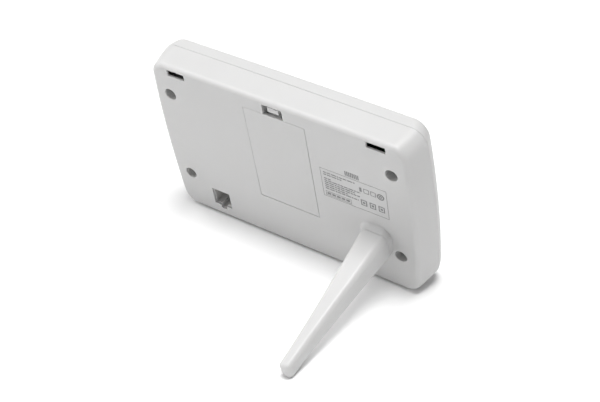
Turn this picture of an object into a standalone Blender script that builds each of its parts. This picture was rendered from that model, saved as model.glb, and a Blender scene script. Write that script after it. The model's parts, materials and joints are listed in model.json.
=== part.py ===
"""Desk display console of a weather station, standing on its lower edge and one plug-in leg.

The console is modelled upright in its own frame and then leaned back on its leg:
  X  to the right, seen from the front      Y  towards the rear, 0 on the flat rear face
  Z  up the face, 0 half way between the upper and the lower case screws
Sizes below are in millimetres and become metres through MM.
"""
import math

import bmesh
import bpy
from mathutils import Matrix, Vector

MM = 0.001
GAP = 0.3                      # clearance between neighbouring pieces

# ---- case -----------------------------------------------------------------
HALF_W = 72.2                  # half width at the parting line, half way up
TOP = 44.2
BOTTOM = -48.8
SIDE_BOW = 2.0                 # how far the sides bulge over their corners
TOP_BOW = 0.4
CORNER_R = 7.0
REAR_ROUND = 2.4               # rounding of the rear rim
FRONT_ROUND = 2.2
SPLIT_Y = -14.0                # parting line between cover and bezel
FRONT_Y = -20.8
FLARE_SIDE = 2.1               # the side walls widen by this much from rear rim to parting line
BEZEL_TAPER = 2.4              # and lean in again by this much over the bezel
WALL = 1.8
TRIM = 0.8                     # spare rim height that is cut off flat at the parting line
FACET_X = 16.0                 # spacing of the facets that follow the bowed walls
FACET_Z = 12.0
COVER_LEVELS = (-6.0, -9.0, -12.0)   # extra facets up the cover's flared sides
LEAN_DEG = 13.5                # how far the console leans back on its leg

# ---- case screws ----------------------------------------------------------
SCREW_X = 60.0
SCREW_Z = 26.1
WELL_R = 3.1
WELL_DEPTH = 5.2
BOSS_R = 4.5
SHANK_R = 1.3
SCREW_TIP_Y = -18.3            # how far the case screws reach into the bezel's posts

# ---- battery bay and door -------------------------------------------------
DOOR_HALF_W = 16.8             # opening in the rear wall
DOOR_TOP = 36.0
DOOR_BOTTOM = -21.3
DOOR_T = 1.6
BAY_HALF_W = 15.9
BAY_TOP = 32.4
BAY_BOTTOM = -17.4
BAY_DEPTH = 12.6
BAY_WALL = 1.6
CELL_PITCH = 10.6
PLATE_T = 0.4                  # sheet of the battery contacts
TAB_X = 8.25                   # the door's two lower tabs
TAB_HALF_W = 2.9
LATCH_HALF_W = 3.0
LATCH_DEEP = -5.4
RECESS_HALF_W = 5.4
RECESS_TOP = 41.5
RECESS_FLOOR = -5.8

# ---- wall slots -----------------------------------------------------------
SLOT_X = 53.6
SLOT_HALF_W = 4.85
SLOT_BOTTOM = 38.4
SLOT_TOP = 41.75
SLOT_WALL = 1.0                # the wall is thinned round the slots

# ---- cable inlet ----------------------------------------------------------
PORT_X = 43.2
PORT_HALF_W = 5.15
PORT_TOP = -31.4
PORT_BOTTOM = -41.7
CLIP_HALF_W = 1.7              # notch under the opening for the plug's clip
CLIP_BOTTOM = -43.9
JACK_FACE_Y = -1.0
CONTACT_PITCH = 1.3

# ---- leg ------------------------------------------------------------------
LEG_ROOT = Vector((-48.9, 0.0, -19.8))
LEG_LENGTH = 79.0              # from the rear face to the tip
LEG_ROOT_HALF = Vector((6.3, 7.85))   # the bar's half width and half height at its root
LEG_TIP_HALF = Vector((2.9, 4.5))
LEG_EDGE = 2.2                 # rounding along its edges
LEG_TAPER = 1.4                # 1 is a straight wedge, more makes the flanks hollow
FLARE_AT = Vector((-47.4, 0.0, -19.8))
FLARE_HALF = Vector((9.0, 9.8))      # conical collar moulded into the cover
FLARE_CORNER = 7.5
COLLAR_LIP = 0.1               # the collar's end stands this far outside the leg
COLLAR_CORNER = 2.7
COLLAR_H = 2.5
LEG_STATIONS = (7.5, 13.0, 20.0, 29.0, 40.0, 52.0, 65.0)
PLUG_R = 3.6
PLUG_LENGTH = 10.2

# ---- board and display ----------------------------------------------------
BOARD_HALF_W = 55.0
BOARD_TOP = 40.2
BOARD_BOTTOM = -45.2
BOARD_REAR_Y = -13.9
BOARD_T = 1.2
BOARD_SCREW_X = 51.5
BOARD_SCREW_Z = (37.6, -42.4)
WINDOW_HALF_W = 54.0
WINDOW_TOP = 37.5
WINDOW_BOTTOM = -27.0
WINDOW_LEDGE = 2.5
WINDOW_T = 0.8
LCD_HALF_W = 49.5
LCD_TOP = 32.9
LCD_BOTTOM = -24.6
GUIDE_BOTTOM = -20.0           # the light guide leaves room for the connector below it
KEY_X = (-33.0, -11.0, 11.0, 33.0)
KEY_Z = -36.6
KEY_HALF_W = 7.0
KEY_HALF_H = 2.5
KEY_PROUD = 0.7

# ---- feet -----------------------------------------------------------------
PAD_X = 48.0
PAD_Y = -6.4
PAD_R = 3.6
PAD_PROUD = 0.9                # thinnest part of the wedge-shaped pad


# ---------------------------------------------------------------------------
# scene, collections and materials
# ---------------------------------------------------------------------------
def clear_scene():
    for obj in list(bpy.data.objects):
        bpy.data.objects.remove(obj, do_unlink=True)


def new_collection(name):
    found = bpy.data.collections.get(name)
    if found:
        bpy.data.collections.remove(found)
    made = bpy.data.collections.new(name)
    bpy.context.scene.collection.children.link(made)
    return made


def material(name, colour, roughness, metallic=0.0):
    made = bpy.data.materials.get(name) or bpy.data.materials.new(name)
    made.use_nodes = True
    shader = made.node_tree.nodes["Principled BSDF"]
    shader.inputs["Base Color"].default_value = (*colour, 1.0)
    shader.inputs["Roughness"].default_value = roughness
    shader.inputs["Metallic"].default_value = metallic
    return made


clear_scene()
PARTS = new_collection("weather_console")
GUIDES = new_collection("weather_console_guides")

WHITE = ("case_white", (0.83, 0.83, 0.82), 0.42)
GREY = ("soft_grey_plastic", (0.55, 0.56, 0.57), 0.5)
BLACK = ("black_plastic", (0.02, 0.02, 0.022), 0.45)
BOARD = ("board_green", (0.02, 0.16, 0.07), 0.45)
GLASS = ("display_glass", (0.30, 0.34, 0.31), 0.12)
CLEAR = ("clear_window", (0.80, 0.82, 0.83), 0.05)
STEEL = ("nickel_steel", (0.62, 0.62, 0.60), 0.3, 1.0)
GOLD = ("gilt_brass", (0.83, 0.62, 0.25), 0.25, 1.0)
RUBBER = ("grey_rubber", (0.35, 0.35, 0.36), 0.85)


# ---------------------------------------------------------------------------
# mesh helpers (millimetres in, metres out)
# ---------------------------------------------------------------------------
def add_object(name, mesh, look=None, collection=None):
    obj = bpy.data.objects.new(name, mesh)
    (collection or PARTS).objects.link(obj)
    if look:
        mesh.materials.clear()
        mesh.materials.append(material(*look))
    return obj


def mesh_from(bm, name):
    bmesh.ops.recalc_face_normals(bm, faces=bm.faces)
    bmesh.ops.scale(bm, vec=(MM, MM, MM), verts=bm.verts)
    mesh = bpy.data.meshes.new(name)
    bm.to_mesh(mesh)
    bm.free()
    mesh.set_sharp_from_angle(angle=math.radians(35))
    return mesh


def box_bm(low, high, round_by=0.0):
    """A box between two corners, with all its edges rounded when round_by is set."""
    bm = bmesh.new()
    bmesh.ops.create_cube(bm, size=1.0)
    size = Vector(high) - Vector(low)
    bmesh.ops.scale(bm, vec=size, verts=bm.verts)
    bmesh.ops.translate(bm, vec=(Vector(high) + Vector(low)) / 2, verts=bm.verts)
    if round_by:
        bmesh.ops.bevel(bm, geom=bm.edges[:], offset=round_by, segments=2, profile=0.5,
                        affect="EDGES")
    return bm


def rod_bm(centre, radius, y_from, y_to, sides=24):
    """A cylinder along Y between two depths."""
    bm = bmesh.new()
    turn = Matrix.Rotation(math.radians(-90), 4, "X")
    place = Matrix.Translation((centre[0], (y_from + y_to) / 2, centre[1])) @ turn
    bmesh.ops.create_cone(bm, cap_ends=True, segments=sides, radius1=radius, radius2=radius,
                          depth=abs(y_to - y_from), matrix=place)
    return bm


def box(name, low, high, look, round_by=0.0):
    return add_object(name, mesh_from(box_bm(low, high, round_by), name), look)


def rod(name, centre, radius, y_from, y_to, look, sides=24):
    return add_object(name, mesh_from(rod_bm(centre, radius, y_from, y_to, sides), name), look)


def boolean(target, bm, operation, name):
    """Join a shape to the target, or cut it out; the guide stays as a hidden wire object."""
    guide = add_object(name, mesh_from(bm, name), collection=GUIDES)
    guide.hide_render = True
    guide.display_type = "WIRE"
    modifier = target.modifiers.new(name, "BOOLEAN")
    modifier.operation = operation
    modifier.object = guide
    modifier.solver = "EXACT"
    return guide


def join_shape(target, bm, name):
    return boolean(target, bm, "UNION", name)


def cut_shape(target, bm, name):
    return boolean(target, bm, "DIFFERENCE", name)


def settle(obj, place):
    """Move an object, and the guides of its booleans with it."""
    obj.location = place * MM
    for modifier in obj.modifiers:
        if modifier.type == "BOOLEAN":
            modifier.object.location = obj.location


def turned(name, profile, look, steps=24):
    """Spin a profile of (radius, height) points about Z; heights run top to bottom."""
    bm = bmesh.new()
    verts = [bm.verts.new((radius, 0.0, height)) for radius, height in profile]
    for first, second in zip(verts, verts[1:]):
        bm.edges.new((first, second))
    bmesh.ops.scale(bm, vec=(MM, MM, MM), verts=bm.verts)
    mesh = bpy.data.meshes.new(name)
    bm.to_mesh(mesh)
    bm.free()
    obj = add_object(name, mesh, look)
    screw = obj.modifiers.new("turn", "SCREW")
    screw.steps = steps
    screw.render_steps = steps
    screw.use_merge_vertices = True
    screw.merge_threshold = 0.00001
    screw.use_smooth_shade = True
    return obj


def wire_path(name, points, radius, look, resolution=1):
    """A wire through the points, as a filled curve turned into one closed mesh."""
    curve = bpy.data.curves.new(name, "CURVE")
    curve.dimensions = "3D"
    curve.bevel_depth = radius * MM
    curve.bevel_resolution = resolution
    curve.use_fill_caps = True
    spline = curve.splines.new("POLY")
    spline.points.add(len(points) - 1)
    for target, point in zip(spline.points, points):
        target.co = (*(Vector(point) * MM), 1.0)
    holder = add_object(name + "_path", curve)
    depsgraph = bpy.context.evaluated_depsgraph_get()
    mesh = bpy.data.meshes.new_from_object(holder.evaluated_get(depsgraph))
    bpy.data.objects.remove(holder, do_unlink=True)
    bm = bmesh.new()
    bm.from_mesh(mesh)
    bmesh.ops.remove_doubles(bm, verts=bm.verts, dist=0.001 * MM)
    bmesh.ops.recalc_face_normals(bm, faces=bm.faces)
    bm.to_mesh(mesh)
    bm.free()
    return add_object(name, mesh, look)


# ---------------------------------------------------------------------------
# case halves
# ---------------------------------------------------------------------------
def side_inset(y):
    """How much narrower than the parting line each side is at a depth."""
    if y < SPLIT_Y:
        return BEZEL_TAPER * ((y - SPLIT_Y) / (FRONT_Y - SPLIT_Y)) ** 1.3
    run = (y - SPLIT_Y) / (-REAR_ROUND - SPLIT_Y)
    return FLARE_SIDE * min(1.0, max(0.0, run)) ** 1.4


def split_at(bm, point, normal):
    """Put a line of vertices where a plane crosses the mesh."""
    bmesh.ops.bisect_plane(bm, geom=bm.verts[:] + bm.edges[:] + bm.faces[:], plane_co=point,
                           plane_no=normal)


def case_block(y_rear, y_front, rounded_y, round_by, open_y, levels=()):
    """One half of the case: a bowed, tapered, rounded block, open on the other half's side."""
    bm = box_bm((-HALF_W + SIDE_BOW, y_front, BOTTOM), (HALF_W - SIDE_BOW, y_rear, TOP - TOP_BOW))
    corners = [e for e in bm.edges if abs(e.verts[0].co.y - e.verts[1].co.y) > 1.0]
    bmesh.ops.bevel(bm, geom=corners, offset=CORNER_R, segments=5, profile=0.5, affect="EDGES")
    middle = (TOP + BOTTOM) / 2
    reach = (TOP - BOTTOM) / 2
    for step in range(-3, 4):
        split_at(bm, (step * FACET_X, 0, 0), (1, 0, 0))
    for step in range(-2, 3):
        split_at(bm, (0, 0, middle + step * FACET_Z), (0, 0, 1))
    for vert in bm.verts:
        along = (vert.co.z - middle) / reach
        across = vert.co.x / HALF_W
        vert.co.x += math.copysign(SIDE_BOW * (1 - along ** 2), vert.co.x) * min(1, abs(across) * 1.2)
        if vert.co.z > middle:
            vert.co.z += TOP_BOW * (1 - across ** 2)
    rim = [e for e in bm.edges
           if all(abs(v.co.y - rounded_y) < 0.01 for v in e.verts)
           and any(abs(f.normal.y) < 0.5 for f in e.link_faces)]
    bmesh.ops.bevel(bm, geom=rim, offset=round_by, segments=4, profile=0.5, affect="EDGES")
    for y in levels:
        split_at(bm, (0, y, 0), (0, 1, 0))
    for vert in bm.verts:
        if abs(vert.co.x) > HALF_W / 2:
            share = min(1.0, (abs(vert.co.x) - HALF_W / 2) / (HALF_W / 2 - 4.0))
            vert.co.x -= math.copysign(side_inset(vert.co.y) * share, vert.co.x)
    lid = [f for f in bm.faces if all(abs(v.co.y - open_y) < 0.01 for v in f.verts)]
    bmesh.ops.delete(bm, geom=lid, context="FACES")
    return bm


def shell(name, bm, wall):
    obj = add_object(name, mesh_from(bm, name), WHITE)
    solidify = obj.modifiers.new("wall", "SOLIDIFY")
    solidify.thickness = wall * MM
    solidify.offset = -1.0
    solidify.use_even_offset = True
    solidify.use_rim = True
    return obj


def upright():
    """The true vertical, seen in the leaned-back case's own frame."""
    lean = math.radians(LEAN_DEG)
    return Vector((0, -math.sin(lean), math.cos(lean)))


def ground_level():
    """Height of the supporting surface along the true vertical, under the pads' thin ends."""
    edge = Vector((0, PAD_Y + PAD_R, BOTTOM - GAP))
    return edge.dot(upright()) - PAD_PROUD


def leg_half(s):
    """Half width and half height of the leg's section at a distance from the rear face."""
    share = (s - COLLAR_H) / (LEG_LENGTH - COLLAR_H)
    return LEG_TIP_HALF + (LEG_ROOT_HALF - LEG_TIP_HALF) * max(0.0, 1 - share) ** LEG_TAPER


def leg_axis():
    """Unit direction from root to tip, sloped so that the rounded end just meets the ground."""
    height = LEG_ROOT.dot(upright()) - ground_level()
    slope = math.radians(LEAN_DEG)
    for _ in range(8):
        end = LEG_EDGE + (LEG_TIP_HALF.y - LEG_EDGE) * math.cos(slope)
        slope = math.asin((height - end) / (LEG_LENGTH - LEG_EDGE))
    drop = slope - math.radians(LEAN_DEG)
    return Vector((0.0, math.cos(drop), -math.sin(drop)))


def leg_place():
    """Matrix that stands a Z-up turned shape on the leg's root, pointing along the leg."""
    turn = Vector((0, 0, 1)).rotation_difference(leg_axis()).to_matrix().to_4x4()
    return Matrix.Translation(LEG_ROOT) @ turn


def leg_cone(radius_low, radius_high, s_low, s_high, sides=40):
    """A cone or cylinder along the leg's axis between two distances from the root."""
    bm = bmesh.new()
    place = leg_place() @ Matrix.Translation((0, 0, (s_low + s_high) / 2))
    bmesh.ops.create_cone(bm, cap_ends=True, segments=sides, radius1=radius_low,
                          radius2=radius_high, depth=s_high - s_low, matrix=place)
    return bm


def rounded_ring(half, radius, steps=5):
    """Points of a rounded rectangle about 0, given its half sizes."""
    points = []
    for quarter, (u, v) in enumerate(((1, 1), (-1, 1), (-1, -1), (1, -1))):
        for step in range(steps + 1):
            angle = (quarter + step / steps) * math.pi / 2
            points.append((u * (half.x - radius) + radius * math.cos(angle),
                           v * (half.y - radius) + radius * math.sin(angle)))
    return points


def leg_flare():
    """Collar from a broad foot in the rear face up to the leg's own section."""
    place = leg_place()
    end = leg_half(COLLAR_H) + Vector((COLLAR_LIP, COLLAR_LIP))
    bm = bmesh.new()
    for u, v in rounded_ring(FLARE_HALF, FLARE_CORNER):
        bm.verts.new(FLARE_AT + Vector((u, -0.7, v)))
    for u, v in rounded_ring(end, COLLAR_CORNER):
        bm.verts.new(place @ Vector((u, v, COLLAR_H)))
    bmesh.ops.convex_hull(bm, input=bm.verts[:])
    return bm


def build_rear_cover():
    spare = SPLIT_Y - TRIM
    cover = shell("rear_cover", case_block(0.0, spare, 0.0, REAR_ROUND, spare, COVER_LEVELS), WALL)
    cut_shape(cover, box_bm((-100, spare - 5.0, -100), (100, SPLIT_Y, 100)), "cover_trim")
    for side in (-1, 1):
        for end in (-1, 1):
            tag = f"{'r' if side > 0 else 'l'}{'t' if end > 0 else 'b'}"
            join_shape(cover, rod_bm((side * SCREW_X, end * SCREW_Z), BOSS_R, -0.6,
                                     SPLIT_Y + GAP), "boss_" + tag)
    join_shape(cover, box_bm((-BAY_HALF_W - BAY_WALL - 0.6, -BAY_DEPTH - 1.0, DOOR_BOTTOM - 3.4),
                             (BAY_HALF_W + BAY_WALL + 0.6, -0.6, DOOR_TOP + 1.6)), "bay_box")
    join_shape(cover, box_bm((-RECESS_HALF_W - 1.4, -7.2, DOOR_TOP - 2.5),
                             (RECESS_HALF_W + 1.4, -0.6, RECESS_TOP + 1.3)), "recess_box")
    join_shape(cover, leg_cone(BOSS_R + 2.5, BOSS_R + 2.5, -PLUG_LENGTH - 2.0, -0.8), "socket_boss")
    join_shape(cover, leg_flare(), "leg_collar")
    join_shape(cover, box_bm((PORT_X - PORT_HALF_W - 1.8, -3.4, CLIP_BOTTOM - 1.8),
                             (PORT_X + PORT_HALF_W + 1.8, -0.6, PORT_TOP + 1.8)), "port_frame")

    cut_shape(cover, box_bm((-DOOR_HALF_W, -DOOR_T - GAP, DOOR_BOTTOM),
                            (DOOR_HALF_W, 1.0, DOOR_TOP)), "door_rebate")
    cut_shape(cover, box_bm((-BAY_HALF_W, -BAY_DEPTH, BAY_BOTTOM),
                            (BAY_HALF_W, -1.0, BAY_TOP)), "bay_hollow")
    for side in (-1, 1):
        tag = "r" if side > 0 else "l"
        cut_shape(cover, box_bm((side * TAB_X - TAB_HALF_W - GAP, -6.0, DOOR_BOTTOM - 2.4),
                                (side * TAB_X + TAB_HALF_W + GAP, -1.0, BAY_BOTTOM + 1.0)),
                  "tab_pocket_" + tag)
        cut_shape(cover, box_bm((side * SLOT_X - SLOT_HALF_W - 1.0, -WALL - 0.6, SLOT_BOTTOM - 0.8),
                                (side * SLOT_X + SLOT_HALF_W + 1.0, -SLOT_WALL, SLOT_TOP + 0.7)),
                  "slot_relief_" + tag)
        cut_shape(cover, box_bm((side * SLOT_X - SLOT_HALF_W, -5.0, SLOT_BOTTOM),
                                (side * SLOT_X + SLOT_HALF_W, 1.0, SLOT_TOP)), "wall_slot_" + tag)
        for end in (-1, 1):
            corner = tag + ("t" if end > 0 else "b")
            spot = (side * SCREW_X, end * SCREW_Z)
            cut_shape(cover, rod_bm(spot, WELL_R, -WELL_DEPTH, 1.0), "well_" + corner)
            cut_shape(cover, rod_bm(spot, SHANK_R + GAP, SPLIT_Y - 1.0, -1.0, sides=16),
                      "screw_hole_" + corner)
    cut_shape(cover, box_bm((-RECESS_HALF_W, RECESS_FLOOR, DOOR_TOP - 2.0),
                            (RECESS_HALF_W, 1.0, RECESS_TOP)), "latch_recess")
    cut_shape(cover, box_bm((-LATCH_HALF_W - GAP, -3.6, RECESS_TOP - 1.0),
                            (LATCH_HALF_W + GAP, -1.9, RECESS_TOP + 0.8)), "catch_slot")
    cut_shape(cover, box_bm((PORT_X - PORT_HALF_W, -3.0, PORT_BOTTOM),
                            (PORT_X + PORT_HALF_W, 1.0, PORT_TOP)), "cable_port")
    cut_shape(cover, box_bm((PORT_X - CLIP_HALF_W, -3.1, CLIP_BOTTOM),
                            (PORT_X + CLIP_HALF_W, 0.9, PORT_BOTTOM + 1.0)), "clip_notch")
    cut_shape(cover, box_bm((PORT_X - PORT_HALF_W - 0.9, -4.0, CLIP_BOTTOM - 0.9),
                            (PORT_X + PORT_HALF_W + 0.9, JACK_FACE_Y + GAP, PORT_TOP + 0.9)),
              "jack_seat")
    cut_shape(cover, leg_cone(PLUG_R + GAP, PLUG_R + GAP, -PLUG_LENGTH - 0.6, COLLAR_H + 2.0),
              "leg_socket")
    return cover


def build_front_bezel():
    spare = SPLIT_Y + TRIM
    bezel = shell("front_bezel", case_block(spare, FRONT_Y, FRONT_Y, FRONT_ROUND, spare), WALL)
    cut_shape(bezel, box_bm((-100, SPLIT_Y - GAP, -100), (100, spare + 5.0, 100)), "bezel_trim")
    inner = FRONT_Y + WALL
    for side in (-1, 1):
        for end in (-1, 1):
            tag = f"{'r' if side > 0 else 'l'}{'t' if end > 0 else 'b'}"
            spot = (side * SCREW_X, end * SCREW_Z)
            join_shape(bezel, rod_bm(spot, 3.4, inner - 0.6, SPLIT_Y - GAP), "post_" + tag)
            cut_shape(bezel, rod_bm(spot, SHANK_R + GAP, inner + 0.2, SPLIT_Y + 1.0, sides=16),
                      "pilot_" + tag)
        for z in BOARD_SCREW_Z:
            tag = f"{'r' if side > 0 else 'l'}{'t' if z > 0 else 'b'}"
            spot = (side * BOARD_SCREW_X, z)
            join_shape(bezel, rod_bm(spot, 2.2, inner - 0.6, BOARD_REAR_Y - BOARD_T - GAP,
                                     sides=16), "board_post_" + tag)
            cut_shape(bezel, rod_bm(spot, 1.1, inner + 0.4, SPLIT_Y + 1.0, sides=12),
                      "board_pilot_" + tag)
    cut_shape(bezel, box_bm((-WINDOW_HALF_W, FRONT_Y - 1.0, WINDOW_BOTTOM),
                            (WINDOW_HALF_W, FRONT_Y + WINDOW_T + GAP, WINDOW_TOP)), "window_rebate")
    cut_shape(bezel, box_bm((-WINDOW_HALF_W + WINDOW_LEDGE, FRONT_Y - 1.0,
                             WINDOW_BOTTOM + WINDOW_LEDGE),
                            (WINDOW_HALF_W - WINDOW_LEDGE, inner + 1.0,
                             WINDOW_TOP - WINDOW_LEDGE)), "window_opening")
    for index, x in enumerate(KEY_X, 1):
        cut_shape(bezel, box_bm((x - KEY_HALF_W - GAP, FRONT_Y - 1.0, KEY_Z - KEY_HALF_H - GAP),
                                (x + KEY_HALF_W + GAP, inner + 1.0, KEY_Z + KEY_HALF_H + GAP)),
                  f"key_hole_{index}")
    return bezel


# ---------------------------------------------------------------------------
# display, board and what is on it
# ---------------------------------------------------------------------------
def build_display():
    inner = FRONT_Y + WALL
    box("display_window",
        (-WINDOW_HALF_W + GAP, FRONT_Y, WINDOW_BOTTOM + GAP),
        (WINDOW_HALF_W - GAP, FRONT_Y + WINDOW_T, WINDOW_TOP - GAP), CLEAR)
    board_front = BOARD_REAR_Y - BOARD_T
    glass_rear = board_front - 1.3
    box("lcd_panel", (-LCD_HALF_W, inner + GAP + 0.2, LCD_BOTTOM),
        (LCD_HALF_W, glass_rear, LCD_TOP), GLASS)
    box("light_guide", (-LCD_HALF_W + 1.0, glass_rear + GAP, GUIDE_BOTTOM),
        (LCD_HALF_W - 1.0, board_front - GAP, LCD_TOP - 0.6), CLEAR)
    box("elastomer_strip", (-LCD_HALF_W + 3.5, glass_rear + GAP, LCD_BOTTOM + 0.6),
        (LCD_HALF_W - 3.5, board_front - GAP, GUIDE_BOTTOM - 1.8), RUBBER)
    holder = box("lcd_holder", (-LCD_HALF_W - 3.0, inner + GAP, LCD_BOTTOM - 1.6),
                 (LCD_HALF_W + 3.0, board_front - GAP, LCD_TOP + 1.6), GREY)
    cut_shape(holder, box_bm((-LCD_HALF_W - GAP, inner - 1.0, LCD_BOTTOM - GAP),
                             (LCD_HALF_W + GAP, board_front + 1.0, LCD_TOP + GAP)),
              "holder_opening")


def build_board():
    front = BOARD_REAR_Y - BOARD_T
    board = box("main_board", (-BOARD_HALF_W, front, BOARD_BOTTOM),
                (BOARD_HALF_W, BOARD_REAR_Y, BOARD_TOP), BOARD)
    for side in (-1, 1):
        for z in BOARD_SCREW_Z:
            tag = f"{'r' if side > 0 else 'l'}{'t' if z > 0 else 'b'}"
            cut_shape(board, rod_bm((side * BOARD_SCREW_X, z), 1.3, front - 1.0,
                                    BOARD_REAR_Y + 1.0, sides=16), "board_hole_" + tag)
    rear = BOARD_REAR_Y + GAP
    index = 0
    for z in BOARD_SCREW_Z:
        for side in (-1, 1):
            index += 1
            screw = turned(f"board_screw_{index}",
                           [(0, 1.2), (1.3, 1.1), (1.9, 0.5), (1.9, 0.0), (0.8, 0.0),
                            (0.8, -3.6), (0.0, -4.0)], STEEL, steps=16)
            screw.location = Vector((side * BOARD_SCREW_X, rear, z)) * MM
            screw.rotation_euler = (math.radians(-90), 0, 0)
    dome = turned("processor_dome",
                  [(0, 1.7), (3.0, 1.5), (5.0, 0.9), (6.2, 0.0), (0.0, 0.0)], BLACK, steps=24)
    dome.location = Vector((34.0, rear, 10.0)) * MM
    dome.rotation_euler = (math.radians(-90), 0, 0)
    box("clock_crystal", (22.5, rear, 20.0), (26.5, rear + 1.8, 29.0), STEEL, 0.6)
    rod("buzzer", (33.0, -10.0), 6.0, rear, rear + 4.5, BLACK, sides=32)
    box("climate_sensor", (26.0, rear, -39.0), (30.0, rear + 1.6, -35.0), GREY, 0.3)
    box("radio_module", (-44.0, rear, 0.0), (-30.0, rear + 1.4, 22.0), BOARD)
    coil = []
    turns, per_turn = 6, 8
    for step in range(turns * per_turn + 1):
        angle = 2 * math.pi * step / per_turn
        coil.append((-37.0 + 2.4 * math.cos(angle), rear + 4.6 + 2.4 * math.sin(angle),
                     4.0 + 14.0 * step / (turns * per_turn)))
    wire_path("antenna_coil", coil, 0.35, GOLD)
    for index, x in enumerate(KEY_X, 1):
        switch = box(f"key_switch_{index}", (x - 3.0, front - GAP - 0.7, KEY_Z - 3.0),
                     (x + 3.0, front - GAP, KEY_Z + 3.0), BLACK)
        join_shape(switch, rod_bm((x, KEY_Z), 1.5, front - GAP - 1.1, front - GAP - 0.4, sides=16),
                   f"plunger_{index}")


def build_keys():
    inner = FRONT_Y + WALL
    for index, x in enumerate(KEY_X, 1):
        key = box(f"key_{index}", (-KEY_HALF_W, -WALL - KEY_PROUD - GAP, -KEY_HALF_H),
                  (KEY_HALF_W, 0.3, KEY_HALF_H), GREY, 0.5)
        join_shape(key, box_bm((-KEY_HALF_W - 1.1, 0.0, -KEY_HALF_H - 1.1),
                               (KEY_HALF_W + 1.1, 0.7, KEY_HALF_H + 1.1)), f"key_flange_{index}")
        join_shape(key, rod_bm((0.0, 0.0), 1.3, 0.6, 1.3, sides=16), f"key_stem_{index}")
        settle(key, Vector((x, inner + GAP, KEY_Z)))


# ---------------------------------------------------------------------------
# cable inlet
# ---------------------------------------------------------------------------
def build_jack():
    mouth_top = PORT_TOP - 0.3
    mouth_low = PORT_BOTTOM + 0.3
    jack = box("modular_jack",
               (PORT_X - PORT_HALF_W - 0.6, BOARD_REAR_Y + GAP, CLIP_BOTTOM - 0.6),
               (PORT_X + PORT_HALF_W + 0.6, JACK_FACE_Y, PORT_TOP + 0.6), GREY)
    cut_shape(jack, box_bm((PORT_X - PORT_HALF_W + 0.3, -12.0, mouth_low),
                           (PORT_X + PORT_HALF_W - 0.3, 1.0, mouth_top)), "jack_mouth")
    cut_shape(jack, box_bm((PORT_X - CLIP_HALF_W + 0.2, -10.0, CLIP_BOTTOM + 0.3),
                           (PORT_X + CLIP_HALF_W - 0.2, 1.1, mouth_low + 1.0)), "jack_clip_way")
    for index in range(4):
        x = PORT_X + (index - 1.5) * CONTACT_PITCH
        points = [(x, -11.4, mouth_top - 0.7), (x, -4.0, mouth_top - 0.7),
                  (x, -3.3, mouth_top - 1.0), (x, -3.1, mouth_top - 1.6),
                  (x, -3.6, mouth_top - 2.2), (x, -10.6, mouth_top - 3.4)]
        wire_path(f"jack_contact_{index + 1}", points, 0.25, GOLD)


# ---------------------------------------------------------------------------
# battery contacts, door and latch
# ---------------------------------------------------------------------------
def build_contacts():
    plate_rear = -3.4
    plate_front = -BAY_DEPTH + GAP

    def plate(name, x_low, x_high, top):
        if top:
            z_low, z_high = BAY_TOP - GAP - PLATE_T, BAY_TOP - GAP
        else:
            z_low, z_high = BAY_BOTTOM + GAP, BAY_BOTTOM + GAP + PLATE_T
        box(name, (x_low, plate_front, z_low), (x_high, plate_rear, z_high), STEEL)

    half = CELL_PITCH / 2 - 0.7
    plate("contact_positive", -CELL_PITCH - half, -CELL_PITCH + half, True)
    plate("contact_bridge_top", -half, CELL_PITCH + half, True)
    plate("contact_negative", CELL_PITCH - half, CELL_PITCH + half, False)
    plate("contact_bridge_bottom", -CELL_PITCH - half, half, False)

    middle_y = -BAY_DEPTH + 5.9
    springs = ((-CELL_PITCH, False), (0.0, True), (CELL_PITCH, False))
    turns, per_turn, length, wire_r = 3.5, 10, 4.6, 0.3
    stand_off = 2 * GAP + PLATE_T + wire_r
    for index, (x, top) in enumerate(springs, 1):
        base = BAY_TOP - stand_off if top else BAY_BOTTOM + stand_off
        way = -1 if top else 1
        count = int(turns * per_turn)
        points = []
        for step in range(count + 1):
            share = step / count
            angle = 2 * math.pi * step / per_turn
            radius = 3.4 - 1.5 * share
            points.append((x + radius * math.cos(angle), middle_y + radius * math.sin(angle),
                           base + way * length * share))
        wire_path(f"contact_spring_{index}", points, wire_r, STEEL)


def build_door():
    """The door swings on the round lower edge; two tabs reach behind the rear wall."""
    hinge = Vector((0.0, -DOOR_T / 2, DOOR_BOTTOM + GAP + DOOR_T / 2))
    top = DOOR_TOP - GAP - hinge.z
    half_w = DOOR_HALF_W - GAP
    door = box("battery_door", (-half_w, -DOOR_T / 2, 0.0), (half_w, DOOR_T / 2, top), WHITE)
    edge = bmesh.new()
    bmesh.ops.create_cone(edge, cap_ends=True, segments=16, radius1=DOOR_T / 2,
                          radius2=DOOR_T / 2, depth=2 * half_w - 0.02,
                          matrix=Matrix.Rotation(math.radians(90), 4, "Y"))
    join_shape(door, edge, "door_edge")
    for side in (-1, 1):
        tag = "r" if side > 0 else "l"
        neck = box_bm((side * TAB_X - TAB_HALF_W, -2.0, -0.9), (side * TAB_X + TAB_HALF_W, 0.0, 0.9))
        hook = box_bm((side * TAB_X - TAB_HALF_W, -3.0, -2.2), (side * TAB_X + TAB_HALF_W, -1.9, 0.9))
        join_shape(door, neck, "tab_neck_" + tag)
        join_shape(door, hook, "tab_hook_" + tag)
    settle(door, hinge)


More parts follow.
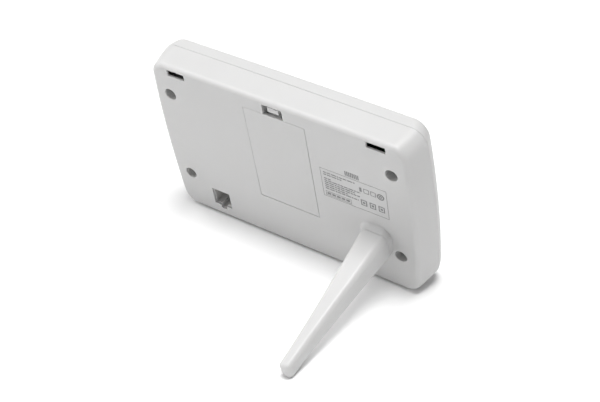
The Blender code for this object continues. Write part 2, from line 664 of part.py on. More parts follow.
def build_latch():
    """A folded strip: stub under the door, loop in the recess, finger tab with a catch ridge."""
    w = LATCH_HALF_W
    low = DOOR_TOP + 1.6
    high = RECESS_TOP - 1.3
    latch = box("door_latch", (-w, -2.6, low), (w, -0.7, high), WHITE)
    join_shape(latch, box_bm((-w, LATCH_DEEP, low), (w, -2.5, low + 1.1)), "latch_web")
    join_shape(latch, box_bm((-w, LATCH_DEEP, DOOR_TOP - 1.0), (w, LATCH_DEEP + 1.0, low + 0.1)),
               "latch_strip")
    join_shape(latch, box_bm((-w, LATCH_DEEP, DOOR_TOP - 1.0), (w, -DOOR_T - GAP, DOOR_TOP - 0.3)),
               "latch_stub")
    join_shape(latch, box_bm((-w + 0.4, -3.3, high - 0.3), (w - 0.4, -2.2, RECESS_TOP - GAP)),
               "latch_ridge")


# ---------------------------------------------------------------------------
# screws, leg and feet
# ---------------------------------------------------------------------------
def build_case_screws():
    seat = -WELL_DEPTH + GAP
    index = 0
    for end in (1, -1):
        for side in (-1, 1):
            index += 1
            screw = turned(f"case_screw_{index}",
                           [(0, 1.5), (1.6, 1.4), (2.5, 0.7), (2.5, 0.0), (SHANK_R, 0.0),
                            (SHANK_R, SCREW_TIP_Y - seat + 1.2), (0.0, SCREW_TIP_Y - seat)],
                           STEEL, steps=20)
            screw.location = Vector((side * SCREW_X, seat, end * SCREW_Z)) * MM
            screw.rotation_euler = (math.radians(-90), 0, 0)


def build_leg():
    """A tapered bar of rounded rectangular section with a round plug at its root."""
    start = COLLAR_H + GAP
    bm = box_bm((-1.0, -1.0, start), (1.0, 1.0, LEG_LENGTH))
    for s in LEG_STATIONS:
        split_at(bm, (0, 0, s), (0, 0, 1))
    for vert in bm.verts:
        half = leg_half(vert.co.z)
        vert.co.x *= half.x
        vert.co.y *= half.y
    rounded = [e for e in bm.edges
               if abs(e.verts[0].co.z - e.verts[1].co.z) > 0.5
               or min(v.co.z for v in e.verts) > LEG_LENGTH - 0.1]
    bmesh.ops.bevel(bm, geom=rounded, offset=LEG_EDGE, segments=3, profile=0.5, affect="EDGES")
    bmesh.ops.transform(bm, matrix=leg_place(), verts=bm.verts)
    leg = add_object("leg", mesh_from(bm, "leg"), WHITE)
    plug = leg_cone(PLUG_R, PLUG_R, -PLUG_LENGTH, start + 1.0)
    rim = [e for e in plug.edges if max(v.co.y for v in e.verts) < 2.0 - PLUG_LENGTH]
    bmesh.ops.bevel(plug, geom=rim, offset=0.8, segments=1, profile=0.5, affect="EDGES")
    join_shape(leg, plug, "leg_plug")
    return leg


def build_feet():
    """Wedge-shaped pads: tops follow the case, undersides lie flat on the surface."""
    for name, side in (("foot_pad_left", -1), ("foot_pad_right", 1)):
        bm = bmesh.new()
        bmesh.ops.create_cone(bm, cap_ends=True, segments=28, radius1=PAD_R, radius2=PAD_R,
                              depth=4.0, matrix=Matrix.Translation((side * PAD_X, PAD_Y,
                                                                    BOTTOM - GAP - 2.0)))
        cut = bmesh.ops.bisect_plane(bm, geom=bm.verts[:] + bm.edges[:] + bm.faces[:],
                                     plane_co=upright() * ground_level(), plane_no=-upright(),
                                     clear_outer=True)
        edges = [g for g in cut["geom_cut"] if isinstance(g, bmesh.types.BMEdge)]
        bmesh.ops.edgeloop_fill(bm, edges=edges)
        add_object(name, mesh_from(bm, name), RUBBER)


def depth_range():
    """Frontmost and rearmost point of the whole object, in metres."""
    bpy.context.view_layer.update()
    depsgraph = bpy.context.evaluated_depsgraph_get()
    depths = []
    for obj in PARTS.objects:
        if obj.type == "MESH":
            shown = obj.evaluated_get(depsgraph)
            depths += [(shown.matrix_world @ vert.co).y for vert in shown.data.vertices]
    return min(depths), max(depths)


def stand_up():
    """Lean everything back about X, set the pads on z = 0 and centre the object on Y."""
    frame = bpy.data.objects.new("console_frame", None)
    PARTS.objects.link(frame)
    frame.rotation_euler = (math.radians(-LEAN_DEG), 0, 0)
    frame.location = (0.0, 0.0, -ground_level() * MM)
    for obj in list(PARTS.objects) + list(GUIDES.objects):
        if obj is not frame:
            obj.parent = frame
    front, rear = depth_range()
    frame.location.y = -(front + rear) / 2
    return frame


def main():
    build_rear_cover()
    build_front_bezel()
    build_display()
    build_board()
    build_keys()
    build_jack()
    build_contacts()
    build_door()
    build_latch()
    build_case_screws()
    build_leg()
    build_feet()
    stand_up()


main()
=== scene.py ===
"""Studio picture of a weather station's display console, seen from behind, on its plug-in leg.

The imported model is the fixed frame, and every piece here is fitted to it.  Pieces are shaped in the
console's own axes, in millimetres, and then leaned back into the frame:
  X  to the right, seen from the display side      Y  towards the rear, 0 on the flat rear face
  Z  up the face, 0 half way between the upper and the lower case screws
"""

import json
from math import copysign, cos, dist, hypot, pi, radians, sin, tan

import bmesh
import bpy
from mathutils import Matrix, Vector


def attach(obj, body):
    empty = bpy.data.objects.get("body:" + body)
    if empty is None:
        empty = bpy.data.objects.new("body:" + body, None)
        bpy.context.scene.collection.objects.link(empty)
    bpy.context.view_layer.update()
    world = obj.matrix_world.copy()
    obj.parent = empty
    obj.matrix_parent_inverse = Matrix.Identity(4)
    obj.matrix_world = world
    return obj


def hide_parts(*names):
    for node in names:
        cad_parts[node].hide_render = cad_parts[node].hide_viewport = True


MM = 0.001
GAP = 0.3  # clearance between neighbouring pieces
WELD = 1e-4  # points closer than this are one point

# ---- camera ----
CAMERA_AZIMUTH = 214.42
CAMERA_ELEVATION = 35.04
CAMERA_DISTANCE = 0.66
LOOK_AT = Vector((-0.00107, -0.0304, 0.0283))
LENS_MM = 84.0
SHIFT = (0.0021, -0.0024)
FLOOR_REACH = 6.0  # metres from the middle to each edge

# ---- light: name, direction towards it, distance and size in metres, watts ----
WORLD_LIGHT = 0.19
LIGHTS = (
    ("key_light", (-0.11, 0.05, 1.0), 1.6, 0.8, 26.0),
    ("rear_high_fill", (0.1, 0.8, 0.7), 1.8, 1.0, 3.8),
    ("left_fill", (0.8, 0.45, 0.35), 1.8, 1.4, 8.2),
    ("left_high_fill", (0.6, 0.2, 0.8), 1.8, 1.2, 9.6),
    ("right_fill", (-0.95, -0.1, 0.35), 1.8, 1.4, 4.6),
)

# ---- case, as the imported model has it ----
HALF_W = 72.05  # half width at the parting line, half way up
TOP = 44.2
BOTTOM = -48.8
SIDE_BOW = 2.0
TOP_BOW = 0.4
CORNER_R = 7.0
REAR_ROUND = 2.4
FRONT_ROUND = 2.2
SPLIT_Y = -14.0  # parting line between cover and bezel
FRONT_Y = -20.8
FLARE_SIDE = 2.1
BEZEL_TAPER = 2.4
WALL = 1.8
LIP_ROUND = 0.12  # soft edge on both sides of the parting line
SEAM = 0.1  # what is seen of the gap at the parting line
INNER_FILLET = 1.0  # between the walls and the faces, inside
IN_WALL = -0.6  # inner blocks and bosses grow out of the rear wall from here

# ---- openings in the rear face ----
WELL_R = 3.1
WELL_DEPTH = 5.2
WELL_MOUTH = 0.4  # rounding of the well's rim
BOSS_R = 4.5
SHANK_R = 1.3
SCREW_HEAD_R = 2.5
SLOT_X = 53.6
SLOT_HALF_W = 4.85
SLOT_BOTTOM = 38.4
SLOT_TOP = 41.75
SLOT_WALL = 1.0  # the wall is thinned round the slots
BAY_HALF_W = 15.9
BAY_TOP = 32.4
BAY_BOTTOM = -17.4
BAY_DEPTH = 12.6
BAY_WALL = 1.6
CELL_PITCH = 10.6
DOOR_T = 1.6
DOOR_EDGE = 0.42  # rounding of the edge the door swings on
DOOR_SEAM = 0.1
DOOR_SEAM_RIGHT = 0.26  # the door sits a little to one side
TAB_X = 8.25
TAB_HALF_W = 2.9
RECESS_HALF_W = 5.4
RECESS_TOP = 41.5
PORT_HALF_W = 5.15
PORT_TOP = -31.4
PORT_BOTTOM = -41.7
CLIP_HALF_W = 1.7  # notch under the opening for the plug's clip
CLIP_BOTTOM = -43.9

# ---- leg ----
FLARE_X = -47.4  # middle of the trumpet's foot in the cover
FLARE_HALF = Vector((9.0, 9.8))
FLARE_CORNER = 7.5
FLARE_STEEPEST = radians(54)  # where it meets the collar
COLLAR_LIP = 0.02  # the collar's end stands this far outside the leg
COLLAR_H = 2.5
PLUG_R = 3.6
PLUG_LENGTH = 10.2
LEG_ROOT_HALF = Vector((6.9, 8.0))  # the bar's half width and half height at its root
LEG_TIP_HALF = Vector((2.9, 4.5))
LEG_ROOT_EDGE = 3.4  # rounding along its edges, largest at the root
LEG_EDGE = 2.2
LEG_TAPER = 1.4  # 1 is a straight wedge, more makes the flanks hollow
LEG_CORNER_STEPS = 14

# ---- front ----
FRONT_BOSS_R = 3.4
BOARD_BOSS_R = 2.2
BOARD_PILOT_R = 1.1
WINDOW_LEDGE = 2.5
WINDOW_T = 0.8
BOARD_SCREW_X = 51.5
BOARD_SCREW_Z = (37.6, -42.4)
BOARD_FRONT_Y = -15.1
KEY_FLANGE = 1.1  # the key is this much wider behind the bezel
KEY_FLANGE_T = 0.7
KEY_EDGE = 0.45
KEY_STEM = 0.6  # from the flange back to the switch
KEY_MARKS = {  # bars on each cap: x from, x to, z from, z to
    1: ((-1.2, 1.2, -0.2, 0.2),),
    2: ((-1.2, 1.2, -0.2, 0.2), (-0.2, 0.2, -1.2, 1.2)),
    3: ((-1.4, -0.4, -0.7, 0.7), (0.4, 1.4, -0.7, 0.7)),
    4: ((-1.3, 1.3, 0.5, 0.8), (-1.3, 1.3, -0.15, 0.15), (-1.3, 1.3, -0.8, -0.5)),
}

# ---- label ----
LABEL_LEFT = -21.7  # X of the printed frame's edges
LABEL_RIGHT = -56.3
LABEL_TOP = 14.6
LABEL_BOTTOM = -3.3
INK_T = 0.03
INK_ROOT = 0.01  # ink on the case reaches this far into it
LABEL_ROWS = (  # rows of bars: middle height and length
    (12.4, 17.0), (11.0, 9.5), (8.6, 3.5), (7.3, 19.0), (6.0, 16.0), (4.7, 18.5), (3.4, 12.0),
    (2.1, 17.5),
)
SEGMENTS = {"0": "abcdef", "1": "bc", "2": "abged", "3": "abgcd", "4": "fgbc", "5": "afgcd",
            "6": "afgedc", "7": "abc", "8": "abcdefg", "9": "abcdfg"}


# ---- the frame, and the console's own axes in it ----
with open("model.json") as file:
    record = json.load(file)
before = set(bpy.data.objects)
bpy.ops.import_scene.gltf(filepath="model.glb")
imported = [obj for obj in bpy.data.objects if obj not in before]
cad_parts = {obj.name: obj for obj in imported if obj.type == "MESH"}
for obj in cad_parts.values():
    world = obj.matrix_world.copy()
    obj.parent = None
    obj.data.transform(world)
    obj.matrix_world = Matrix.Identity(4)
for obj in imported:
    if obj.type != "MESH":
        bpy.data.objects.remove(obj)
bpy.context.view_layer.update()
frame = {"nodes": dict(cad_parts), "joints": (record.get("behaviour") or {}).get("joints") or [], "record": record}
JOINTS = {joint["name"]: joint for joint in frame["joints"]}
MOUNTS = {mount["name"]: mount for mount in frame["record"]["mounts"]}


def console_axes():
    """Matrix from the console's own millimetres to the frame's metres."""
    rear = Vector(JOINTS["key_1_press"]["axis"]).normalized()
    up = -Vector(JOINTS["latch_press"]["axis"]).normalized()
    right = rear.cross(up)
    turn = Matrix((right, rear, up)).transposed().to_4x4()
    back = turn.inverted()
    heights = []
    for node in ("case_screw_1", "case_screw_3"):
        points = [back @ vert.co for vert in frame["nodes"][node].data.vertices]
        heights.append(sum(p.z for p in points) / len(points))
    face = back @ Vector(MOUNTS["rear_face"]["pos_m"])
    origin = turn @ Vector((0.0, face.y, sum(heights) / 2))
    return Matrix.Translation(origin) @ turn @ Matrix.Scale(MM, 4)


TO_FRAME = console_axes()
FROM_FRAME = TO_FRAME.inverted()


def points_of(node):
    """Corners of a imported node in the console's axes, in millimetres."""
    return [FROM_FRAME @ vert.co for vert in frame["nodes"][node].data.vertices]


def local_box(node):
    """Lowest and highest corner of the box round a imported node."""
    points = points_of(node)
    low = Vector([min(p[i] for p in points) for i in range(3)])
    high = Vector([max(p[i] for p in points) for i in range(3)])
    return low, high


def face_on(low, high):
    """Middle x, middle z, half width and half height of a box."""
    return ((low.x + high.x) / 2, (low.z + high.z) / 2, (high.x - low.x) / 2, (high.z - low.z) / 2)


def centre_of(node):
    low, high = local_box(node)
    return (low + high) / 2


# ---- materials ----
class Look:
    """A Principled material whose colour, gloss and relief vary with procedural noise."""

    def __init__(self, name, roughness, metallic=0.0, **sockets):
        self.material = bpy.data.materials.new(name)
        self.material.use_nodes = True
        self.tree = self.material.node_tree
        self.shader = self.tree.nodes["Principled BSDF"]
        self.shader.inputs["Roughness"].default_value = roughness
        self.shader.inputs["Metallic"].default_value = metallic
        for socket, value in sockets.items():
            self.shader.inputs[socket.replace("_", " ")].default_value = value
        self.place = self.tree.nodes.new("ShaderNodeTexCoord")

    def link(self, output, target):
        self.tree.links.new(output, target)

    def noise(self, scale, detail=3.0, stretch=None):
        """Noise in the piece's own coordinates; scale counts features per metre."""
        made = self.tree.nodes.new("ShaderNodeTexNoise")
        made.inputs["Scale"].default_value = scale
        made.inputs["Detail"].default_value = detail
        source = self.place.outputs["Object"]
        if stretch:
            mapping = self.tree.nodes.new("ShaderNodeMapping")
            mapping.inputs["Scale"].default_value = stretch
            self.link(source, mapping.inputs["Vector"])
            source = mapping.outputs["Vector"]
        self.link(source, made.inputs["Vector"])
        return made.outputs["Fac"]

    def gloss(self, factor, low, high):
        """Map a factor around one half to a range of roughness."""
        made = self.tree.nodes.new("ShaderNodeMapRange")
        made.inputs["From Min"].default_value = 0.3
        made.inputs["From Max"].default_value = 0.7
        made.inputs["To Min"].default_value = low
        made.inputs["To Max"].default_value = high
        self.link(factor, made.inputs["Value"])
        self.link(made.outputs["Result"], self.shader.inputs["Roughness"])

    def tint(self, factor, dark, light, reach=0.2):
        """Blend the base colour while the factor runs from one half - reach to one half + reach."""
        ramp = self.tree.nodes.new("ShaderNodeValToRGB")
        stops = ((0.5 - reach, dark), (0.5 + reach, light))
        for point, (place, colour) in zip(ramp.color_ramp.elements, stops):
            point.position = place
            point.color = (*colour, 1.0)
        self.link(factor, ramp.inputs["Fac"])
        self.link(ramp.outputs["Color"], self.shader.inputs["Base Color"])

    def relief(self, *layers):
        """Bump from (factor, depth in metres) layers, stacked."""
        below = None
        for factor, depth in layers:
            bump = self.tree.nodes.new("ShaderNodeBump")
            bump.inputs["Strength"].default_value = 1.0
            bump.inputs["Distance"].default_value = depth
            self.link(factor, bump.inputs["Height"])
            if below:
                self.link(below, bump.inputs["Normal"])
            below = bump.outputs["Normal"]
        self.link(below, self.shader.inputs["Normal"])


def grey(value, warmth=0.0):
    """A grey, a little warmer than neutral."""
    return (value * (1 + warmth), value, value * (1 - warmth))


def case_plastic(name, bright, dull, roughness):
    """Moulded styrene: a fine spark-eroded texture over faint flow variation."""
    look = Look(name, roughness, IOR=1.5, Subsurface_Weight=0.6, Subsurface_Scale=0.0025)
    look.shader.inputs["Subsurface Radius"].default_value = (1.0, 0.97, 0.94)
    grain = look.noise(2600.0, 4.0)
    look.tint(look.noise(38.0, 5.0), grey(dull, 0.004), grey(bright, 0.002))
    look.gloss(look.noise(900.0), roughness - 0.06, roughness + 0.06)
    look.relief((look.noise(60.0), 0.00001), (grain, 0.000018))
    return look.material


def mottled(name, roughness, tint, gloss, relief=None, reach=0.2, **sockets):
    """From tint (noise, dark, light), gloss (scale, low, high) and relief (noise, depth)."""
    look = Look(name, roughness, **sockets)
    look.tint(look.noise(*tint[0]), *tint[1:], reach)
    look.gloss(look.noise(gloss[0]), *gloss[1:])
    if relief:
        look.relief((look.noise(*relief[0]), relief[1]))
    return look.material


def clear_plastic(name, alpha):
    return mottled(name, 0.06, ((60.0,), (0.78, 0.80, 0.81), (0.84, 0.86, 0.87)),
                   (300.0, 0.03, 0.09), IOR=1.49, Alpha=alpha)


def metal(name, light, dark, roughness, stretch=None):
    look = Look(name, roughness, 1.0)
    look.tint(look.noise(1500.0, 4.0, stretch), dark, light)
    look.gloss(look.noise(2500.0, 3.0, stretch), roughness - 0.08, roughness + 0.1)
    look.relief((look.noise(3200.0, 2.0, stretch), 0.000008))
    return look.material


def rubber(name, value):
    return mottled(name, 0.85, ((700.0, 6.0), grey(value * 0.85), grey(value * 1.1)),
                   (1400.0, 0.75, 0.95), ((2000.0, 5.0), 0.00004))


def black_resin(name, roughness):
    return mottled(name, roughness, ((500.0, 5.0), grey(0.014), grey(0.03)),
                   (800.0, roughness - 0.1, roughness + 0.15), ((1200.0, 4.0), 0.00002))


def circuit_board(name):
    """Green lacquer over straight copper tracks."""
    look = Look(name, 0.35, IOR=1.5)
    brick = look.tree.nodes.new("ShaderNodeTexBrick")
    brick.inputs["Scale"].default_value = 160.0
    brick.inputs["Mortar Size"].default_value = 0.06
    brick.inputs["Color1"].default_value = (0.008, 0.085, 0.035, 1.0)
    brick.inputs["Color2"].default_value = (0.012, 0.11, 0.045, 1.0)
    brick.inputs["Mortar"].default_value = (0.03, 0.19, 0.075, 1.0)
    turn = look.tree.nodes.new("ShaderNodeMapping")
    turn.inputs["Rotation"].default_value = (radians(90), 0.0, 0.0)
    look.link(look.place.outputs["Object"], turn.inputs["Vector"])
    look.link(turn.outputs["Vector"], brick.inputs["Vector"])
    look.link(brick.outputs["Color"], look.shader.inputs["Base Color"])
    look.gloss(look.noise(400.0), 0.28, 0.42)
    look.relief((brick.outputs["Fac"], -0.00003), (look.noise(1500.0), 0.00001))
    return look.material


def printed_ink(name, value):
    return mottled(name, 0.55, ((1800.0, 5.0), grey(value * 0.9), grey(value * 1.12)),
                   (900.0, 0.5, 0.62), reach=0.15)


WHITE = case_plastic("case_white_plastic", 0.507, 0.497, 0.44)
SOFT_GREY = case_plastic("soft_grey_plastic", 0.40, 0.38, 0.48)
JACK_GREY = case_plastic("jack_plastic", 0.5, 0.48, 0.5)
CLEAR = clear_plastic("clear_acrylic", 0.22)
GUIDE = clear_plastic("light_guide_acrylic", 0.6)
# faint upright bands under a smooth polariser
LCD = mottled("display_cell", 0.16,
              ((90.0, 2.0, (1.0, 1.0, 0.15)), (0.27, 0.31, 0.27), (0.31, 0.35, 0.31)),
              (500.0, 0.12, 0.2), IOR=1.52)
SEGMENT_INK = printed_ink("display_segments", 0.02)
LABEL_INK = printed_ink("label_ink", 0.2)
KEY_INK = printed_ink("key_ink", 0.25)
MASK_INK = printed_ink("window_border_ink", 0.62)
STEEL = metal("nickel_steel", (0.66, 0.65, 0.63), (0.5, 0.49, 0.47), 0.3)
GILT = metal("gilt_spring_wire", (0.86, 0.66, 0.30), (0.72, 0.5, 0.2), 0.26)
COPPER = metal("enamelled_copper", (0.62, 0.28, 0.13), (0.5, 0.2, 0.08), 0.34)
PAD_RUBBER = rubber("pad_rubber", 0.33)
STRIP_RUBBER = rubber("connector_elastomer", 0.2)
BLACK = black_resin("black_plastic", 0.5)
RESIN = black_resin("processor_resin", 0.3)
BOARD = circuit_board("board_lacquer")


# ---- shapes, in the console's millimetres ----
def arc(count, start, end):
    """count + 1 angles from start to end, in radians."""
    return [start + (end - start) * step / count for step in range(count + 1)]


def rounded_rect(half_w, half_h, radius, steps=6):
    """Outline of a rounded rectangle about 0, as (u, v) points."""
    radius = min(radius, half_w, half_h)
    points = []
    for quarter, (u, v) in enumerate(((1, 1), (-1, 1), (-1, -1), (1, -1))):
        for angle in arc(steps, quarter * pi / 2, (quarter + 1) * pi / 2):
            points.append((u * (half_w - radius) + radius * cos(angle),
                           v * (half_h - radius) + radius * sin(angle)))
    return points


def circle(radius, steps=48):
    return [(radius * cos(a), radius * sin(a)) for a in arc(steps, 0, 2 * pi)[:-1]]


def at_depth(outline, y, x=0.0, z=0.0):
    return [Vector((x + u, y, z + v)) for u, v in outline]


def loft(rings, capped=True):
    """Skin over rings of equal length, with a flat cap at each end."""
    bm = bmesh.new()
    loops = [[bm.verts.new(point) for point in ring] for ring in rings]
    count = len(rings[0])
    for first, second in zip(loops, loops[1:]):
        for i in range(count):
            j = (i + 1) % count
            bm.faces.new((first[i], first[j], second[j], second[i]))
    if capped:
        bm.faces.new(loops[0])
        bm.faces.new(list(reversed(loops[-1])))
    bmesh.ops.remove_doubles(bm, verts=bm.verts, dist=1e-5)
    bmesh.ops.recalc_face_normals(bm, faces=bm.faces)
    return bm


def block(low, high, soft=0.0, segments=3):
    """A box between two corners with rounded edges."""
    bm = bmesh.new()
    bmesh.ops.create_cube(bm, size=1.0)
    bmesh.ops.scale(bm, vec=Vector(high) - Vector(low), verts=bm.verts)
    bmesh.ops.translate(bm, vec=(Vector(high) + Vector(low)) / 2, verts=bm.verts)
    if soft:
        bmesh.ops.bevel(bm, geom=bm.edges[:], offset=soft, segments=segments, profile=0.5,
                        affect="EDGES")
    return bm


def prism(outline, y_from, y_to, x=0.0, z=0.0):
    """A straight prism along Y."""
    return loft([at_depth(outline, y_from, x, z), at_depth(outline, y_to, x, z)])


def plate(half_w, half_h, radius, y_rear, y_front, soft, x=0.0, z=0.0, steps=8):
    """A rounded plate whose rims are softened on both faces."""
    rings = [(soft * (1 - sin(angle)), y_rear - soft * (1 - cos(angle)))
             for angle in arc(5, 0, pi / 2)]
    rings += [(inset, y_front + (y_rear - y)) for inset, y in reversed(rings)]
    return loft([at_depth(rounded_rect(half_w - inset, half_h - inset, radius - inset, steps),
                          y, x, z) for inset, y in rings])


def pocket(half_w, half_h, radius, floor, mouth, x=0.0, z=0.0, surface=0.0, steps=6):
    """Cutter for a straight-walled pocket whose edge at the surface is softened by mouth."""
    rings = [(0.0, floor), (0.0, surface - mouth)]
    flattest, above = radians(80), 0.01
    for angle in arc(5, 0, flattest)[1:]:
        rings.append((mouth * (1 - cos(angle)), surface - mouth + mouth * sin(angle)))
    spread, y = rings[-1]
    rings.append((spread + (above + surface - y) * tan(flattest), surface + above))
    rings.append((rings[-1][0], surface + 1.0))
    return loft([at_depth(rounded_rect(half_w + grow, half_h + grow, radius + grow, steps),
                          y, x, z) for grow, y in rings])


def pocket_between(low, high, radius, floor, mouth, surface=0.0, steps=6):
    """The same for a pocket given by its (x, z) corners."""
    half_w, half_h = (high[0] - low[0]) / 2, (high[1] - low[1]) / 2
    return pocket(half_w, half_h, radius, floor, mouth, (low[0] + high[0]) / 2,
                  (low[1] + high[1]) / 2, surface, steps)


def mesh_of(name, bm):
    """Store a worked shape as a mesh, and let go of it."""
    mesh = bpy.data.meshes.new(name)
    bm.to_mesh(mesh)
    bm.free()
    return mesh


def put(name, data):
    """A new object in the scene."""
    made = bpy.data.objects.new(name, data)
    bpy.context.scene.collection.objects.link(made)
    return made


def evaluated(made):
    """An object's finished surface, with its modifiers, as a shape to work on."""
    depsgraph = bpy.context.evaluated_depsgraph_get()
    mesh = bpy.data.meshes.new_from_object(made.evaluated_get(depsgraph))
    bm = bmesh.new()
    bm.from_mesh(mesh)
    bpy.data.meshes.remove(mesh)
    bmesh.ops.remove_doubles(bm, verts=bm.verts, dist=WELD)
    return bm


def carve(bm, *steps):
    """Join and cut shapes in order: steps are ("UNION" or "DIFFERENCE", shape) pairs."""
    target = put("carved", mesh_of("carved", bm))
    helpers = []
    for operation, shape in steps:
        helper = put("helper", mesh_of("helper", shape))
        helpers.append(helper)
        modifier = target.modifiers.new("carve", "BOOLEAN")
        modifier.operation = operation
        modifier.solver = "EXACT"
        modifier.object = helper
    bpy.context.view_layer.update()
    made = evaluated(target)
    for helper in helpers + [target]:
        data = helper.data
        bpy.data.objects.remove(helper)
        bpy.data.meshes.remove(data)
    return made


def cut(shape):
    return ("DIFFERENCE", shape)


def add(shape):
    return ("UNION", shape)


def joined(*shapes):
    """Several separate shapes in one mesh, not welded."""
    made = bmesh.new()
    for shape in shapes:
        mesh = mesh_of("joined", shape)
        made.from_mesh(mesh)
        bpy.data.meshes.remove(mesh)
    return made


def soft_edges(made, width, segments, sharp):
    """Round the edges of an object that are sharper than an angle in degrees."""
    bevel = made.modifiers.new("soft_edges", "BEVEL")
    bevel.width = width * MM
    bevel.segments = segments
    bevel.limit_method = "ANGLE"
    bevel.angle_limit = radians(sharp)
    return bevel


def piece(name, bm, look, *stands_for, body="console", sharp=32.0, soften=0.0):
    """Lean a finished shape back into the frame, on its body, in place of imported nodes."""
    mesh = mesh_of(name, bm)
    mesh.transform(TO_FRAME)
    mesh.materials.append(look)
    mesh.shade_smooth()
    mesh.set_sharp_from_angle(angle=radians(sharp))
    made = put(name, mesh)
    if soften:
        soft_edges(made, soften, 3, sharp).harden_normals = True
    weighted = made.modifiers.new("flat_faces", "WEIGHTED_NORMAL")
    weighted.keep_sharp = True
    weighted.weight = 100
    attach(made, body)
    if stands_for:
        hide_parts(*stands_for)


def wire(name, points, radius, look, *stands_for):
    """A smooth round wire through the points, in millimetres."""
    curve = bpy.data.curves.new(name, "CURVE")
    curve.dimensions = "3D"
    curve.bevel_depth = radius
    curve.bevel_resolution = 4
    curve.use_fill_caps = True
    spline = curve.splines.new("POLY")
    spline.points.add(len(points) - 1)
    for target, point in zip(spline.points, points):
        target.co = (*point, 1.0)
    holder = put(name + "_path", curve)
    bm = evaluated(holder)
    bpy.data.objects.remove(holder)
    bmesh.ops.recalc_face_normals(bm, faces=bm.faces)
    piece(name, bm, look, *stands_for, sharp=50.0)


# ---- the case's outline ----
def side_inset(y):
    """How much narrower than the parting line each side is at a depth."""
    if y < SPLIT_Y:
        return BEZEL_TAPER * ((y - SPLIT_Y) / (FRONT_Y - SPLIT_Y)) ** 1.3
    run = (y - SPLIT_Y) / (-REAR_ROUND - SPLIT_Y)
    return FLARE_SIDE * min(1.0, max(0.0, run)) ** 1.4


def base_outline():
    """Rounded rectangle of the case with extra points along its four sides."""
    half_w = HALF_W - SIDE_BOW
    half_h = (TOP - TOP_BOW - BOTTOM) / 2
    coarse = rounded_rect(half_w, half_h, CORNER_R, steps=14)
    points = []
    for (u, v), (next_u, next_v) in zip(coarse, coarse[1:] + coarse[:1]):
        points.append((u, v))
        splits = int(hypot(next_u - u, next_v - v) // 4.0)
        for k in range(1, splits):
            share = k / splits
            points.append((u + (next_u - u) * share, v + (next_v - v) * share))
    unique = [p for i, p in enumerate(points) if dist(p, points[i - 1]) > 1e-6]
    middle = (TOP - TOP_BOW + BOTTOM) / 2
    return [(u, v + middle) for u, v in unique]


BASE_OUTLINE = base_outline()


def case_ring(y, inset):
    """The bowed, flared case wall at a depth, moved inwards by inset."""
    middle = (TOP + BOTTOM) / 2
    reach = (TOP - BOTTOM) / 2
    bowed = []
    for x, z in BASE_OUTLINE:
        along = (z - middle) / reach
        across = x / HALF_W
        x += copysign(SIDE_BOW * (1 - along ** 2), x) * min(1, abs(across) * 1.2)
        if z > middle:
            z += TOP_BOW * (1 - across ** 2)
        if abs(x) > HALF_W / 2:
            share = min(1.0, (abs(x) - HALF_W / 2) / (HALF_W / 2 - 4.0))
            x -= copysign(side_inset(y) * share, x)
        bowed.append((x, z))
    ring = []
    count = len(bowed)
    for i, (x, z) in enumerate(bowed):
        before, after = bowed[i - 1], bowed[(i + 1) % count]
        along = Vector((after[0] - before[0], after[1] - before[1])).normalized()
        ring.append(Vector((x - along.y * inset, y, z + along.x * inset)))
    return ring


def shell_rings(face_y, rim_round, split_y, way):
    """Rings from the flat face, round its rim, along the wall, over the lip and back inside."""
    rings = []
    for angle in arc(9, pi / 2, 0):
        rings.append((face_y - way * rim_round * (1 - sin(angle)),
                      rim_round * (1 - cos(angle))))
    start = face_y - way * rim_round
    end = split_y + way * LIP_ROUND
    rings += [(start + (end - start) * k / 8, 0.0) for k in range(1, 9)]
    for angle in arc(4, 0, pi / 2)[1:]:
        rings.append((split_y + way * LIP_ROUND * (1 - sin(angle)),
                      LIP_ROUND * (1 - cos(angle))))
    rings.append((split_y, WALL))
    inner = face_y - way * WALL
    rings.append((inner - way * INNER_FILLET, WALL))
    for angle in arc(4, 0, pi / 2)[1:]:
        rings.append((inner - way * INNER_FILLET * (1 - sin(angle)),
                      WALL + INNER_FILLET * (1 - cos(angle))))
    return [case_ring(y, inset) for y, inset in rings]


# ---- the leg's axis ----
LEG_WAY = (FROM_FRAME.to_3x3() @ Vector(JOINTS["leg_pull"]["axis"])).normalized()


def leg_root():
    """Where the leg's axis meets the rear face."""
    points = points_of("leg")
    reach = min(p.dot(LEG_WAY) for p in points)
    plug = [p for p in points if p.dot(LEG_WAY) < reach + 0.01]
    middle = sum(plug, Vector()) / len(plug)
    return middle - LEG_WAY * (middle.y / LEG_WAY.y)


LEG_ROOT = leg_root()
LEG_END = max((point - LEG_ROOT).dot(LEG_WAY) for point in points_of("leg"))
LEG_TURN = Vector((0, 1, 0)).rotation_difference(LEG_WAY).to_matrix()


def leg_ring(radius, s, sides=72):
    """A ring round the leg's axis at a distance from the rear face."""
    return [LEG_ROOT + LEG_TURN @ Vector((u, s, v)) for u, v in circle(radius, sides)]


def leg_left(s):
    """Share of the leg still ahead at a distance from the rear face."""
    return max(0.0, 1 - (s - COLLAR_H) / (LEG_END - COLLAR_H))


def leg_half(s):
    """Half width and half height of the leg's section there."""
    return LEG_TIP_HALF + (LEG_ROOT_HALF - LEG_TIP_HALF) * leg_left(s) ** LEG_TAPER


def leg_corner(s):
    """Rounding of the leg's long edges there."""
    return LEG_EDGE + (LEG_ROOT_EDGE - LEG_EDGE) * leg_left(s) ** 2


def leg_section(half, corner, s):
    """A rounded rectangle across the leg's axis at a distance from the rear face."""
    return [LEG_ROOT + LEG_TURN @ Vector((u, s, v))
            for u, v in rounded_rect(half.x, half.y, corner, LEG_CORNER_STEPS)]


